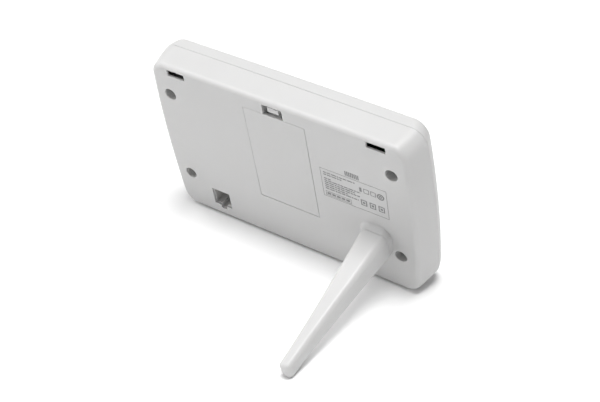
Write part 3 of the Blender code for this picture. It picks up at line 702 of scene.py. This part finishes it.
def leg_flare():
    """Hollow-curved trumpet from the flat rear face up to the leg's joint."""
    lip = Vector((COLLAR_LIP, COLLAR_LIP))
    top = leg_section(leg_half(COLLAR_H) + lip, leg_corner(COLLAR_H) + COLLAR_LIP, COLLAR_H)
    foot = [Vector((FLARE_X + u, 0.0, LEG_ROOT.z + v))
            for u, v in rounded_rect(FLARE_HALF.x, FLARE_HALF.y, FLARE_CORNER, LEG_CORNER_STEPS)]
    rings = [[Vector((p.x, -0.7, p.z)) for p in foot]]
    sunk = 0.03
    for angle in arc(14, 0, FLARE_STEEPEST):
        run = sin(angle) / sin(FLARE_STEEPEST)
        climb = (1 - cos(angle)) / (1 - cos(FLARE_STEEPEST))
        rings.append([Vector((f.x + (t.x - f.x) * run, -sunk + (t.y + sunk) * climb,
                              f.z + (t.z - f.z) * run)) for f, t in zip(foot, top)])
    return loft(rings)


# ---- rear cover ----
def screw_spots():
    return [centre_of(f"case_screw_{i}") for i in range(1, 5)]


def build_cover():
    """The rear half of the case: bosses and boxes grown inside it, then every opening cut."""
    door_high = local_box("battery_door")[1]
    jack_x = centre_of("modular_jack").x
    hinge = FROM_FRAME @ Vector(JOINTS["door_swing"]["pos_m"])
    door_bottom = hinge.z - DOOR_T / 2 - 0.2
    bay_box, recess_box = BAY_HALF_W + BAY_WALL + 0.6, RECESS_HALF_W + 1.4
    port_frame, port_room = 1.8, 0.9    # round the opening for the jack
    bore = PLUG_R + GAP
    steps = [add(prism(circle(BOSS_R), IN_WALL, SPLIT_Y + GAP, spot.x, spot.z))
             for spot in screw_spots()]
    steps += [
        add(block((-bay_box, -BAY_DEPTH - 1.0, door_bottom - 3.4),
                  (bay_box, IN_WALL, door_high.z + 1.9))),
        add(block((-recess_box, -7.2, door_high.z - 2.2), (recess_box, IN_WALL, RECESS_TOP + 1.3))),
        add(loft([leg_ring(BOSS_R + 2.5, -PLUG_LENGTH - 2.0), leg_ring(BOSS_R + 2.5, -0.8)])),
        add(leg_flare()),
        add(block((jack_x - PORT_HALF_W - port_frame, -3.4, CLIP_BOTTOM - port_frame),
                  (jack_x + PORT_HALF_W + port_frame, IN_WALL, PORT_TOP + port_frame))),
        cut(pocket_between((-door_high.x - DOOR_SEAM_RIGHT, door_bottom),
                           (door_high.x + DOOR_SEAM, door_high.z + DOOR_SEAM),
                           0.3, -DOOR_T - GAP, 0.08)),
        cut(block((-BAY_HALF_W, -BAY_DEPTH, BAY_BOTTOM), (BAY_HALF_W, -1.0, BAY_TOP), 0.6)),
        cut(pocket_between((-RECESS_HALF_W, door_high.z - 1.7), (RECESS_HALF_W, RECESS_TOP),
                           0.7, -5.8, 0.25)),
        cut(block((-3.3, -3.6, RECESS_TOP - 1.0), (3.3, -1.9, RECESS_TOP + 0.8))),
        cut(pocket_between((jack_x - PORT_HALF_W, PORT_BOTTOM), (jack_x + PORT_HALF_W, PORT_TOP),
                           0.3, -3.0, 0.15)),
        cut(pocket_between((jack_x - CLIP_HALF_W, CLIP_BOTTOM),
                           (jack_x + CLIP_HALF_W, PORT_BOTTOM + 1.0), 0.3, -3.1, 0.12)),
        cut(block((jack_x - PORT_HALF_W - port_room, -4.0, CLIP_BOTTOM - port_room),
                  (jack_x + PORT_HALF_W + port_room, -0.7, PORT_TOP + port_room))),
        cut(loft([leg_ring(bore, -PLUG_LENGTH - 0.6), leg_ring(bore, COLLAR_H - 0.3),
                  leg_ring(bore + 0.5, COLLAR_H + 0.2), leg_ring(PLUG_R + 0.8, COLLAR_H + 2)])),
    ]
    for side in (-1, 1):
        tab, slot = side * TAB_X, side * SLOT_X
        steps += [
            cut(block((tab - TAB_HALF_W - GAP, -6.0, door_bottom - 2.4),
                      (tab + TAB_HALF_W + GAP, -1.0, BAY_BOTTOM + 1.0))),
            cut(block((slot - SLOT_HALF_W - 1.0, -WALL - 0.6, SLOT_BOTTOM - 0.8),
                      (slot + SLOT_HALF_W + 1.0, -SLOT_WALL, SLOT_TOP + 0.7))),
            cut(pocket_between((slot - SLOT_HALF_W, SLOT_BOTTOM), (slot + SLOT_HALF_W, SLOT_TOP),
                               0.35, -5.0, 0.2)),
        ]
    for spot in screw_spots():
        steps += [
            cut(pocket(WELL_R, WELL_R, WELL_R, -WELL_DEPTH, WELL_MOUTH, spot.x, spot.z, steps=12)),
            cut(prism(circle(SHANK_R + GAP, 24), SPLIT_Y - 1.0, -1.0, spot.x, spot.z)),
        ]
    cover = carve(loft(shell_rings(0.0, REAR_ROUND, SPLIT_Y, 1.0)), *steps)
    piece("cover_shell", cover, WHITE, "rear_cover")


def build_bezel():
    """The front half: screw bosses, the window's rebate and opening, and a hole for each key."""
    window_low, window_high = local_box("display_window")
    inner = FRONT_Y + WALL
    rooted, past_split = inner - 0.6, SPLIT_Y + 1.0
    steps = [add(prism(circle(FRONT_BOSS_R), rooted, SPLIT_Y - GAP, spot.x, spot.z))
             for spot in screw_spots()]
    steps += [cut(prism(circle(SHANK_R + GAP, 24), inner + 0.2, past_split, spot.x, spot.z))
              for spot in screw_spots()]
    for x in (-BOARD_SCREW_X, BOARD_SCREW_X):
        for z in BOARD_SCREW_Z:
            steps.append(add(prism(circle(BOARD_BOSS_R, 24), rooted, BOARD_FRONT_Y - GAP, x, z)))
            steps.append(cut(prism(circle(BOARD_PILOT_R, 24), inner + 0.4, past_split, x, z)))
    half_w = window_high.x + GAP
    half_h = (window_high.z - window_low.z) / 2 + GAP
    middle = (window_high.z + window_low.z) / 2
    steps.append(cut(prism(rounded_rect(half_w, half_h, 0.8), FRONT_Y - 1.0,
                           FRONT_Y + WINDOW_T + GAP, z=middle)))
    steps.append(cut(prism(rounded_rect(half_w - WINDOW_LEDGE, half_h - WINDOW_LEDGE, 0.8),
                           FRONT_Y - 1.5, inner + 1.0, z=middle)))
    for i in range(1, 5):
        x, z, half_w, half_h = face_on(*key_face(i))
        steps.append(cut(prism(rounded_rect(half_w + GAP, half_h + GAP, 0.9),
                               FRONT_Y - 1.0, inner + 1.0, x, z)))
    shell = loft(shell_rings(FRONT_Y, FRONT_ROUND, SPLIT_Y - SEAM, -1.0))
    piece("bezel_shell", carve(shell, *steps), WHITE, "front_bezel")


def key_face(index):
    """Corners of a key's cap, without the flange behind the bezel."""
    low, high = local_box(f"key_{index}")
    return (Vector((low.x + KEY_FLANGE, low.y, low.z + KEY_FLANGE)),
            Vector((high.x - KEY_FLANGE, high.y, high.z - KEY_FLANGE)))


# ---- door, latch and battery contacts ----
def build_door():
    """A panel with softened edges, two hinge tabs and three ribs over the cells."""
    high = local_box("battery_door")[1]
    hinge = FROM_FRAME @ Vector(JOINTS["door_swing"]["pos_m"])
    half_t = DOOR_T / 2
    half_w = high.x
    soft = 0.1
    corners = ((half_t, high.z, soft, 0), (-half_t, high.z, soft, 1),
               (-half_t, hinge.z - half_t, DOOR_EDGE, 2), (half_t, hinge.z - half_t, DOOR_EDGE, 3))
    profile = []
    for y, z, radius, quarter in corners:
        cy, cz = y - copysign(radius, y), z + (radius if quarter > 1 else -radius)
        for angle in arc(6, quarter * pi / 2, (quarter + 1) * pi / 2):
            profile.append((cy + radius * cos(angle), cz + radius * sin(angle)))
    rings = [(soft * (1 - sin(a)), half_w - soft * (1 - cos(a)))
             for a in arc(4, 0, pi / 2)]
    rings += [(inset, -x) for inset, x in reversed(rings)]
    middle = (high.z + hinge.z - half_t) / 2
    span = (high.z - hinge.z + half_t) / 2

    def section(inset, x):
        return [Vector((x, hinge.y + y * (1 - inset / half_t),
                        middle + (z - middle) * (1 - inset / span))) for y, z in profile]

    panel = loft([section(inset, x) for inset, x in rings])
    steps = []
    edge = 0.15
    for x in (-TAB_X, TAB_X):
        # each hinge tab is a neck and a toe behind the cover's edge
        for inner, outer, drop in ((2.0, 0.0, 0.9), (3.0, 1.9, 2.2)):
            steps.append(add(block((x - TAB_HALF_W, hinge.y - inner, hinge.z - drop),
                                   (x + TAB_HALF_W, hinge.y - outer, hinge.z + 0.9), edge)))
    for x in (-CELL_PITCH, 0.0, CELL_PITCH):
        steps.append(add(block((x - 0.5, -2.2, hinge.z + 8.0), (x + 0.5, -1.5, high.z - 10.0),
                               edge)))
    piece("door_panel", carve(panel, *steps), WHITE, "battery_door", body="battery_door")


def build_latch():
    """One folded strip: stub under the door, web in the recess, finger tab with a catch ridge."""
    low, high = local_box("door_latch")
    half_w = high.x
    web = local_box("battery_door")[1].z + GAP + 1.6
    tab_top = high.z - 1.0
    deep, face, back, ridge, stub = low.y, -0.7, -2.6, -3.3, -1.9
    outline = [(face, web), (face, tab_top), (-2.2, tab_top), (-2.2, high.z), (ridge, high.z - 0.2),
               (ridge, tab_top - 0.3), (back, tab_top - 0.3), (back, web + 1.1), (deep, web + 1.1),
               (deep, low.z), (stub, low.z), (stub, low.z + 0.7), (deep + 1.0, low.z + 0.7),
               (deep + 1.0, web)]
    bm = loft([[Vector((x, y, z)) for y, z in outline] for x in (-half_w, half_w)])
    piece("latch_tongue", bm, WHITE, "door_latch", body="latch", soften=0.2)


def build_contacts():
    for node in ("contact_positive", "contact_negative", "contact_bridge_top",
                 "contact_bridge_bottom"):
        low, high = local_box(node)
        half_w = (high.x - low.x) / 2
        half_d = (high.y - low.y) / 2
        middle = (low + high) / 2
        strip = [Vector((middle.x + u, middle.y + v, low.z))
                 for u, v in rounded_rect(half_w, half_d, 1.2)]
        bm = loft([strip, [Vector((p.x, p.y, high.z)) for p in strip]])
        piece(node + "_plate", bm, STEEL, node, soften=0.08)
    springs = (("contact_spring_1", -1), ("contact_spring_2", 1), ("contact_spring_3", -1))
    turns, per_turn, radius, wide, narrowing = 3.5, 32, 0.3, 3.4, 1.5
    for node, way in springs:
        low, high = local_box(node)
        x, y = (low.x + high.x) / 2, -BAY_DEPTH + 5.9
        start = (high.z if way > 0 else low.z) - way * radius
        end = (low.z if way > 0 else high.z) + way * radius
        points = []
        for step in range(int(turns * per_turn) + 1):
            share = step / (turns * per_turn)
            angle = 2 * pi * step / per_turn
            coil = wide - narrowing * share
            points.append((x + coil * cos(angle), y + coil * sin(angle),
                           start + (end - start) * share))
        wire(node + "_wire", points, radius, STEEL, node)


def build_bay_marks():
    """Raised cell outlines and polarity marks on the bay's floor."""
    shapes = []
    floor, top = -BAY_DEPTH - 0.05, -BAY_DEPTH + 0.18
    middle = (BAY_TOP + BAY_BOTTOM) / 2
    half_w, half_h, line, arm, thick, soft = 3.2, 15.0, 0.15, 1.3, 0.25, 0.05
    for x, plus in ((-CELL_PITCH, 1), (0.0, -1), (CELL_PITCH, 1)):
        for side in (-1, 1):
            shapes.append(block((x + side * half_w - line, floor, middle - half_h),
                                (x + side * half_w + line, top, middle + half_h), soft))
            shapes.append(block((x - half_w - line, floor, middle + side * half_h - line),
                                (x + half_w + line, top, middle + side * half_h + line), soft))
        for end in (-1, 1):
            z = middle + end * 10.5
            shapes.append(block((x - arm, floor, z - thick), (x + arm, top, z + thick), soft))
            if end == plus:
                shapes.append(block((x - thick, floor, z - arm),
                                    (x + thick, top + 0.01, z + arm), soft))
    piece("bay_marks", joined(*shapes), WHITE)


# ---- screws, cable jack, leg and pads ----
def build_screws():
    for index in range(1, 5):
        low, high = local_box(f"case_screw_{index}")
        x, z = face_on(low, high)[:2]
        seat = -WELL_DEPTH + GAP
        rings = [(0.02, low.y), (SHANK_R * 0.6, low.y + 0.7), (SHANK_R, low.y + 1.3),
                 (SHANK_R, seat), (SCREW_HEAD_R - 0.12, seat), (SCREW_HEAD_R, seat + 0.12)]
        for angle in arc(7, radians(10), pi / 2):
            rings.append((SCREW_HEAD_R * cos(angle) + 0.02,
                          seat + 0.45 + 1.05 * sin(angle)))
        body = loft([at_depth(circle(radius, 36), y, x, z) for radius, y in rings])
        cross = [cut(block((x - w, seat + 0.6, z - h), (x + w, seat + 2.0, z + h)))
                 for w, h in ((1.5, 0.3), (0.3, 1.5))]
        piece(f"screw_{index}", carve(body, *cross), STEEL, f"case_screw_{index}")


def build_jack():
    low, high = local_box("modular_jack")
    x = (low.x + high.x) / 2
    rim, clip_half = 0.3, CLIP_HALF_W - 0.2
    mouth_top, mouth_low = PORT_TOP - rim, PORT_BOTTOM + rim
    mouth_half = PORT_HALF_W - rim
    mouth = pocket_between((x - mouth_half, mouth_low), (x + mouth_half, mouth_top),
                           0.25, -12.0, 0.2, high.y)
    clip = pocket_between((x - clip_half, CLIP_BOTTOM + rim), (x + clip_half, mouth_low + 1.0),
                          0.2, -10.0, 0.15, high.y)
    housing = carve(block(low, high, 0.15), cut(mouth), cut(clip))
    piece("jack_housing", housing, JACK_GREY, "modular_jack")
    bend = 0.75
    for index in range(1, 5):
        wire_x = centre_of(f"jack_contact_{index}").x
        points = [(wire_x, -11.4, mouth_top - 0.7), (wire_x, -4.2, mouth_top - 0.7)]
        for angle in arc(10, pi / 2, -pi / 2 - 0.25):
            points.append((wire_x, -3.95 + bend * cos(angle),
                           mouth_top - 0.7 - bend + bend * sin(angle)))
        points.append((wire_x, -10.6, mouth_top - 3.4))
        wire(f"jack_wire_{index}", points, 0.22, GILT, f"jack_contact_{index}")


def build_leg():
    """A tapered bar of rounded rectangular section with a round plug at its root."""
    start = COLLAR_H + 0.06
    soft = 0.12
    plug = [(PLUG_R - 0.8, -PLUG_LENGTH), (PLUG_R, -PLUG_LENGTH + 0.8), (PLUG_R, start)]
    rings = [leg_section(Vector((radius, radius)), radius, s) for radius, s in plug]
    for angle in arc(5, 0, pi / 2):
        shrink = soft * (1 - sin(angle))
        rings.append(leg_section(leg_half(start) - Vector((shrink, shrink)),
                                 leg_corner(start) - shrink,
                                 start + soft * (1 - cos(angle))))
    shoulder = LEG_END - LEG_EDGE
    for s in arc(50, start + soft, shoulder)[1:]:
        rings.append(leg_section(leg_half(s), leg_corner(s), s))
    for angle in arc(12, 0, pi / 2)[1:]:
        shrink = LEG_EDGE * (1 - cos(angle))
        rings.append(leg_section(leg_half(shoulder) - Vector((shrink, shrink)),
                                 LEG_EDGE - shrink + 0.02,
                                 shoulder + (LEG_EDGE - 0.03) * sin(angle)))
    piece("stand_leg", loft(rings), WHITE, "leg", body="leg")


def build_pads():
    ground = FROM_FRAME.to_3x3() @ Vector((0, 0, 1))
    level = (FROM_FRAME @ Vector((0, 0, 0))).dot(ground.normalized())
    for name in ("foot_pad_left", "foot_pad_right"):
        low, high = local_box(name)
        x, y = (low.x + high.x) / 2, (low.y + high.y) / 2
        radius = (high.x - low.x) / 2
        bm = loft([[Vector((x + u, y + v, z)) for u, v in circle(radius, 48)]
                   for z in (high.z - 5.0, high.z)])
        cut_at = bmesh.ops.bisect_plane(bm, geom=bm.verts[:] + bm.edges[:] + bm.faces[:],
                                        plane_co=ground.normalized() * level,
                                        plane_no=-ground.normalized(), clear_outer=True)
        edges = [g for g in cut_at["geom_cut"] if isinstance(g, bmesh.types.BMEdge)]
        bmesh.ops.edgeloop_fill(bm, edges=edges)
        piece(name + "_rubber", bm, PAD_RUBBER, name, soften=0.2)


# ---- label, display and keys ----
def ink_bar(x_low, x_high, z_low, z_high, surface=0.0, way=1.0, root=INK_ROOT):
    """A flat printed bar standing a hair proud of a surface."""
    y = sorted((surface - way * root, surface + way * INK_T))
    return block((min(x_low, x_high), y[0], min(z_low, z_high)),
                 (max(x_low, x_high), y[1], max(z_low, z_high)))


def ink_frame(x, z, half_w, half_h, line):
    """A printed rectangle of lines on the case."""
    left, right, low, high = x - half_w, x + half_w, z - half_h, z + half_h
    return joined(ink_bar(left, right, high - line, high), ink_bar(left, right, low, low + line),
                  ink_bar(left, left + line, low, high), ink_bar(right - line, right, low, high))


def ink_ring(x, z, radius, line, surface=0.0, way=1.0, root=INK_ROOT, steps=32):
    """A printed ring."""
    corners = ((radius, -root), (radius, INK_T), (radius - line, INK_T), (radius - line, -root),
               (radius, -root))
    return loft([at_depth(circle(r, steps), surface + way * d, x, z) for r, d in corners],
                capped=False)


def build_label():
    """A plain printed frame with rows of generic bars and simple shapes."""
    shapes = [ink_frame((LABEL_LEFT + LABEL_RIGHT) / 2, (LABEL_TOP + LABEL_BOTTOM) / 2,
                        (LABEL_LEFT - LABEL_RIGHT) / 2, (LABEL_TOP - LABEL_BOTTOM) / 2, 0.2)]
    for k in range(8):
        x = LABEL_LEFT - 13.5 - k * 0.95
        shapes.append(ink_bar(x, x - 0.6, LABEL_TOP + 0.8, LABEL_TOP + 3.6))
    for z, length in LABEL_ROWS:
        x = LABEL_LEFT - 1.6
        run, word = 0.0, 0
        while run < length:
            step = 0.9 + 0.55 * ((word * 5 + int(z * 3)) % 4)
            shapes.append(ink_bar(x - run, x - min(length, run + step), z - 0.32, z + 0.32))
            run += step + 0.4
            word += 1
    shapes.append(ink_frame(LABEL_LEFT - 8.2, -1.1, 6.8, 1.4, 0.2))
    for k in range(5):
        x = LABEL_LEFT - 2.2 - k * 2.5
        shapes.append(ink_bar(x, x - 1.9, -1.7, -0.5))
    for k in range(2):
        shapes.append(ink_frame(-45.6 - k * 3.6, 9.7, 1.4, 1.4, 0.3))
    shapes.append(ink_bar(-42.0, -43.2, 8.4, 11.0))
    for radius, line in ((1.9, 0.7), (0.8, 0.5)):
        shapes.append(ink_ring(-53.0, 9.6, radius, line))
    for x in (-43.6, -48.2, -52.8):
        shapes.append(ink_frame(x, 1.6, 1.6, 1.8, 0.5))
        shapes.append(ink_bar(x + 0.6, x - 0.6, 1.0, 2.2))
    piece("label_print", joined(*shapes), LABEL_INK)


def digit(character, x, z, height, surface):
    """One seven-segment figure: lit segments only, drawn as pointed bars."""
    width = height * 0.5
    line = height * 0.095
    places = {"a": (0.5, 1.0, True), "d": (0.5, 0.0, True), "g": (0.5, 0.5, True),
              "f": (0.0, 0.75, False), "b": (1.0, 0.75, False),
              "e": (0.0, 0.25, False), "c": (1.0, 0.25, False)}
    shapes = []
    for name in SEGMENTS[character]:
        u, v, flat = places[name]
        cx, cz = x + (u - 0.5) * width, z + (v - 0.5) * height
        half = (width if flat else height / 2) / 2 - line * 0.15
        tip = line / 2
        outline = [(-half, 0), (-half + tip, tip), (half - tip, tip), (half, 0), (half - tip, -tip),
                   (-half + tip, -tip)]
        if not flat:
            outline = [(-v_, u_) for u_, v_ in outline]
        shapes.append(prism(outline, surface, surface - INK_T, cx, cz))
    return shapes


def number(text, x, z, height, surface):
    """A row of figures from left to right, starting at x; a point or colon takes a narrow place."""
    def dot(across, up):
        return prism(circle(height * 0.06, 16), surface, surface - INK_T, x + height * across,
                     z + height * up)

    shapes = []
    for character in text:
        if character == ".":
            shapes.append(dot(-0.09, -0.5))
            x += height * 0.06
        elif character == ":":
            shapes += [dot(-0.04, -0.2), dot(-0.04, 0.2)]
            x += height * 0.16
        else:
            shapes += digit(character, x + height * 0.25, z, height, surface)
            x += height * 0.72
    return shapes


def build_display():
    low, high = local_box("display_window")
    middle, half_w, half_h = face_on(low, high)[1:]
    pane = plate(half_w, half_h, 0.8, high.y, low.y, 0.12, z=middle)
    piece("window_pane", pane, CLEAR, "display_window")

    near, far = high.y + 0.02, high.y + 0.07
    outer = rounded_rect(half_w - 0.4, half_h - 0.4, 0.6)
    inner = rounded_rect(half_w - 6.5, half_h - 5.5, 1.5)
    corners = ((outer, near), (outer, far), (inner, far), (inner, near), (outer, near))
    sheet = [at_depth(outline, y, z=middle) for outline, y in corners]
    piece("window_border", loft(sheet, capped=False), MASK_INK)

    face = local_box("lcd_panel")[0].y - 0.02
    on_face = (face, -1.0, 0.0)
    shapes = []
    for text, x, z, height in (("10:28", -40.0, 21.0, 15.0), ("21.5", -40.0, -2.0, 13.0),
                               ("18.0", -2.0, -2.0, 13.0), ("46", 24.0, 20.0, 10.0)):
        shapes += number(text, x, z, height, face)
    for x in (-9.5, 28.5):
        shapes.append(ink_ring(x, 3.7, 1.2, 0.5, *on_face, 24))
    for z_low, z_high in ((9.4, 9.7), (-12.6, -12.3)):
        shapes.append(ink_bar(-45.0, 45.0, z_low, z_high, *on_face))
    sun_x, sun_z = 38.0, -2.0
    shapes.append(prism(circle(2.2, 32), face, face - INK_T, sun_x, sun_z))
    for k in range(8):
        angle = k * pi / 4
        ray = [(3.0, -0.28), (4.6, -0.28), (4.6, 0.28), (3.0, 0.28)]
        across, up = cos(angle), sin(angle)
        spun = [(u * across - v * up, u * up + v * across) for u, v in ray]
        shapes.append(prism(spun, face, face - INK_T, sun_x, sun_z))
    for k in range(4):
        x = -40.0 + k * 1.6
        shapes.append(ink_bar(x, x + 1.0, -18.5, -17.5 + k * 0.9, *on_face))
    for k in range(7):
        x = -14.0 + k * 6.0
        shapes.append(ink_bar(x, x + 4.5, -18.5, -17.6 + (k * 3 % 5) * 0.5, *on_face))
    piece("display_segments", joined(*shapes), SEGMENT_INK)


def build_keys():
    for index in range(1, 5):
        low, high = local_box(f"key_{index}")
        x, z = face_on(low, high)[:2]
        half_w, half_h = face_on(*key_face(index))[2:]
        flange_front = high.y - KEY_STEM - KEY_FLANGE_T
        rings = []
        for angle in arc(5, pi / 2, 0):
            rings.append((-KEY_EDGE * (1 - cos(angle)),
                          low.y + KEY_EDGE * (1 - sin(angle))))
        rings += [(0.0, flange_front), (KEY_FLANGE, flange_front),
                  (KEY_FLANGE, flange_front + KEY_FLANGE_T)]
        cap = loft([at_depth(rounded_rect(half_w + grow, half_h + grow, min(0.8, half_h + grow)),
                             y, x, z) for grow, y in rings])
        stem = prism(circle(1.3, 24), flange_front + 0.5, high.y, x, z)
        piece(f"key_cap_{index}", carve(cap, add(stem)), SOFT_GREY, f"key_{index}",
              body=f"key_{index}_cap")
        shapes = [ink_bar(x + a, x + b, z + c, z + d, low.y, -1.0)
                  for a, b, c, d in KEY_MARKS[index]]
        piece(f"key_mark_{index}", joined(*shapes), KEY_INK, body=f"key_{index}_cap")


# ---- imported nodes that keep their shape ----
def paint_nodes():
    looks = {"lcd_panel": LCD, "light_guide": GUIDE, "lcd_holder": SOFT_GREY,
             "elastomer_strip": STRIP_RUBBER, "main_board": BOARD, "radio_module": BOARD,
             "processor_dome": RESIN, "buzzer": BLACK, "clock_crystal": STEEL,
             "climate_sensor": SOFT_GREY, "antenna_coil": COPPER}
    for index in range(1, 5):
        looks[f"key_switch_{index}"] = BLACK
        looks[f"board_screw_{index}"] = STEEL
    for name, look in looks.items():
        node = frame["nodes"][name]
        node.data.materials.clear()
        node.data.materials.append(look)
        soft_edges(node, 0.15, 2, 50.0)


# ---- stage ----
def build_floor():
    bm = bmesh.new()
    bmesh.ops.create_grid(bm, x_segments=2, y_segments=2, size=FLOOR_REACH)
    mesh = mesh_of("studio_floor", bm)
    mesh.materials.append(mottled("pale_floor", 0.9, ((4.0, 2.0), grey(0.90), grey(0.91)),
                                  (40.0, 0.86, 0.94), ((900.0,), 0.00002)))
    floor = put("studio_floor", mesh)


def build_lights():
    world = bpy.data.worlds.new("studio")
    world.use_nodes = True
    background = world.node_tree.nodes["Background"]
    background.inputs["Color"].default_value = (1.0, 1.0, 1.0, 1.0)
    background.inputs["Strength"].default_value = WORLD_LIGHT
    bpy.context.scene.world = world
    for name, direction, distance, size, power in LIGHTS:
        data = bpy.data.lights.new(name, "AREA")
        data.shape = "DISK"
        data.size = size
        data.energy = power
        light = put(name, data)
        way = Vector(direction).normalized()
        light.location = way * distance
        light.rotation_mode = "QUATERNION"
        light.rotation_quaternion = way.to_track_quat("Z", "Y")


def build_camera():
    scene = bpy.context.scene
    scene.view_settings.view_transform = "Standard"
    data = bpy.data.cameras.new("camera")
    data.lens = LENS_MM
    data.shift_x, data.shift_y = SHIFT
    data.clip_start = 0.01
    camera = put("camera", data)
    around, up = radians(CAMERA_AZIMUTH), radians(CAMERA_ELEVATION)
    away = Vector((sin(around) * cos(up), -cos(around) * cos(up), sin(up)))
    camera.location = LOOK_AT + away * CAMERA_DISTANCE
    camera.rotation_mode = "QUATERNION"
    camera.rotation_quaternion = (-away).to_track_quat("-Z", "Y")
    scene.camera = camera


def main():
    for build in (build_camera, build_lights, build_floor, build_cover, build_bezel, build_door,
                  build_latch, build_contacts, build_bay_marks, build_screws, build_jack, build_leg,
                  build_pads, build_label, build_display, build_keys, paint_nodes):
        build()


main()
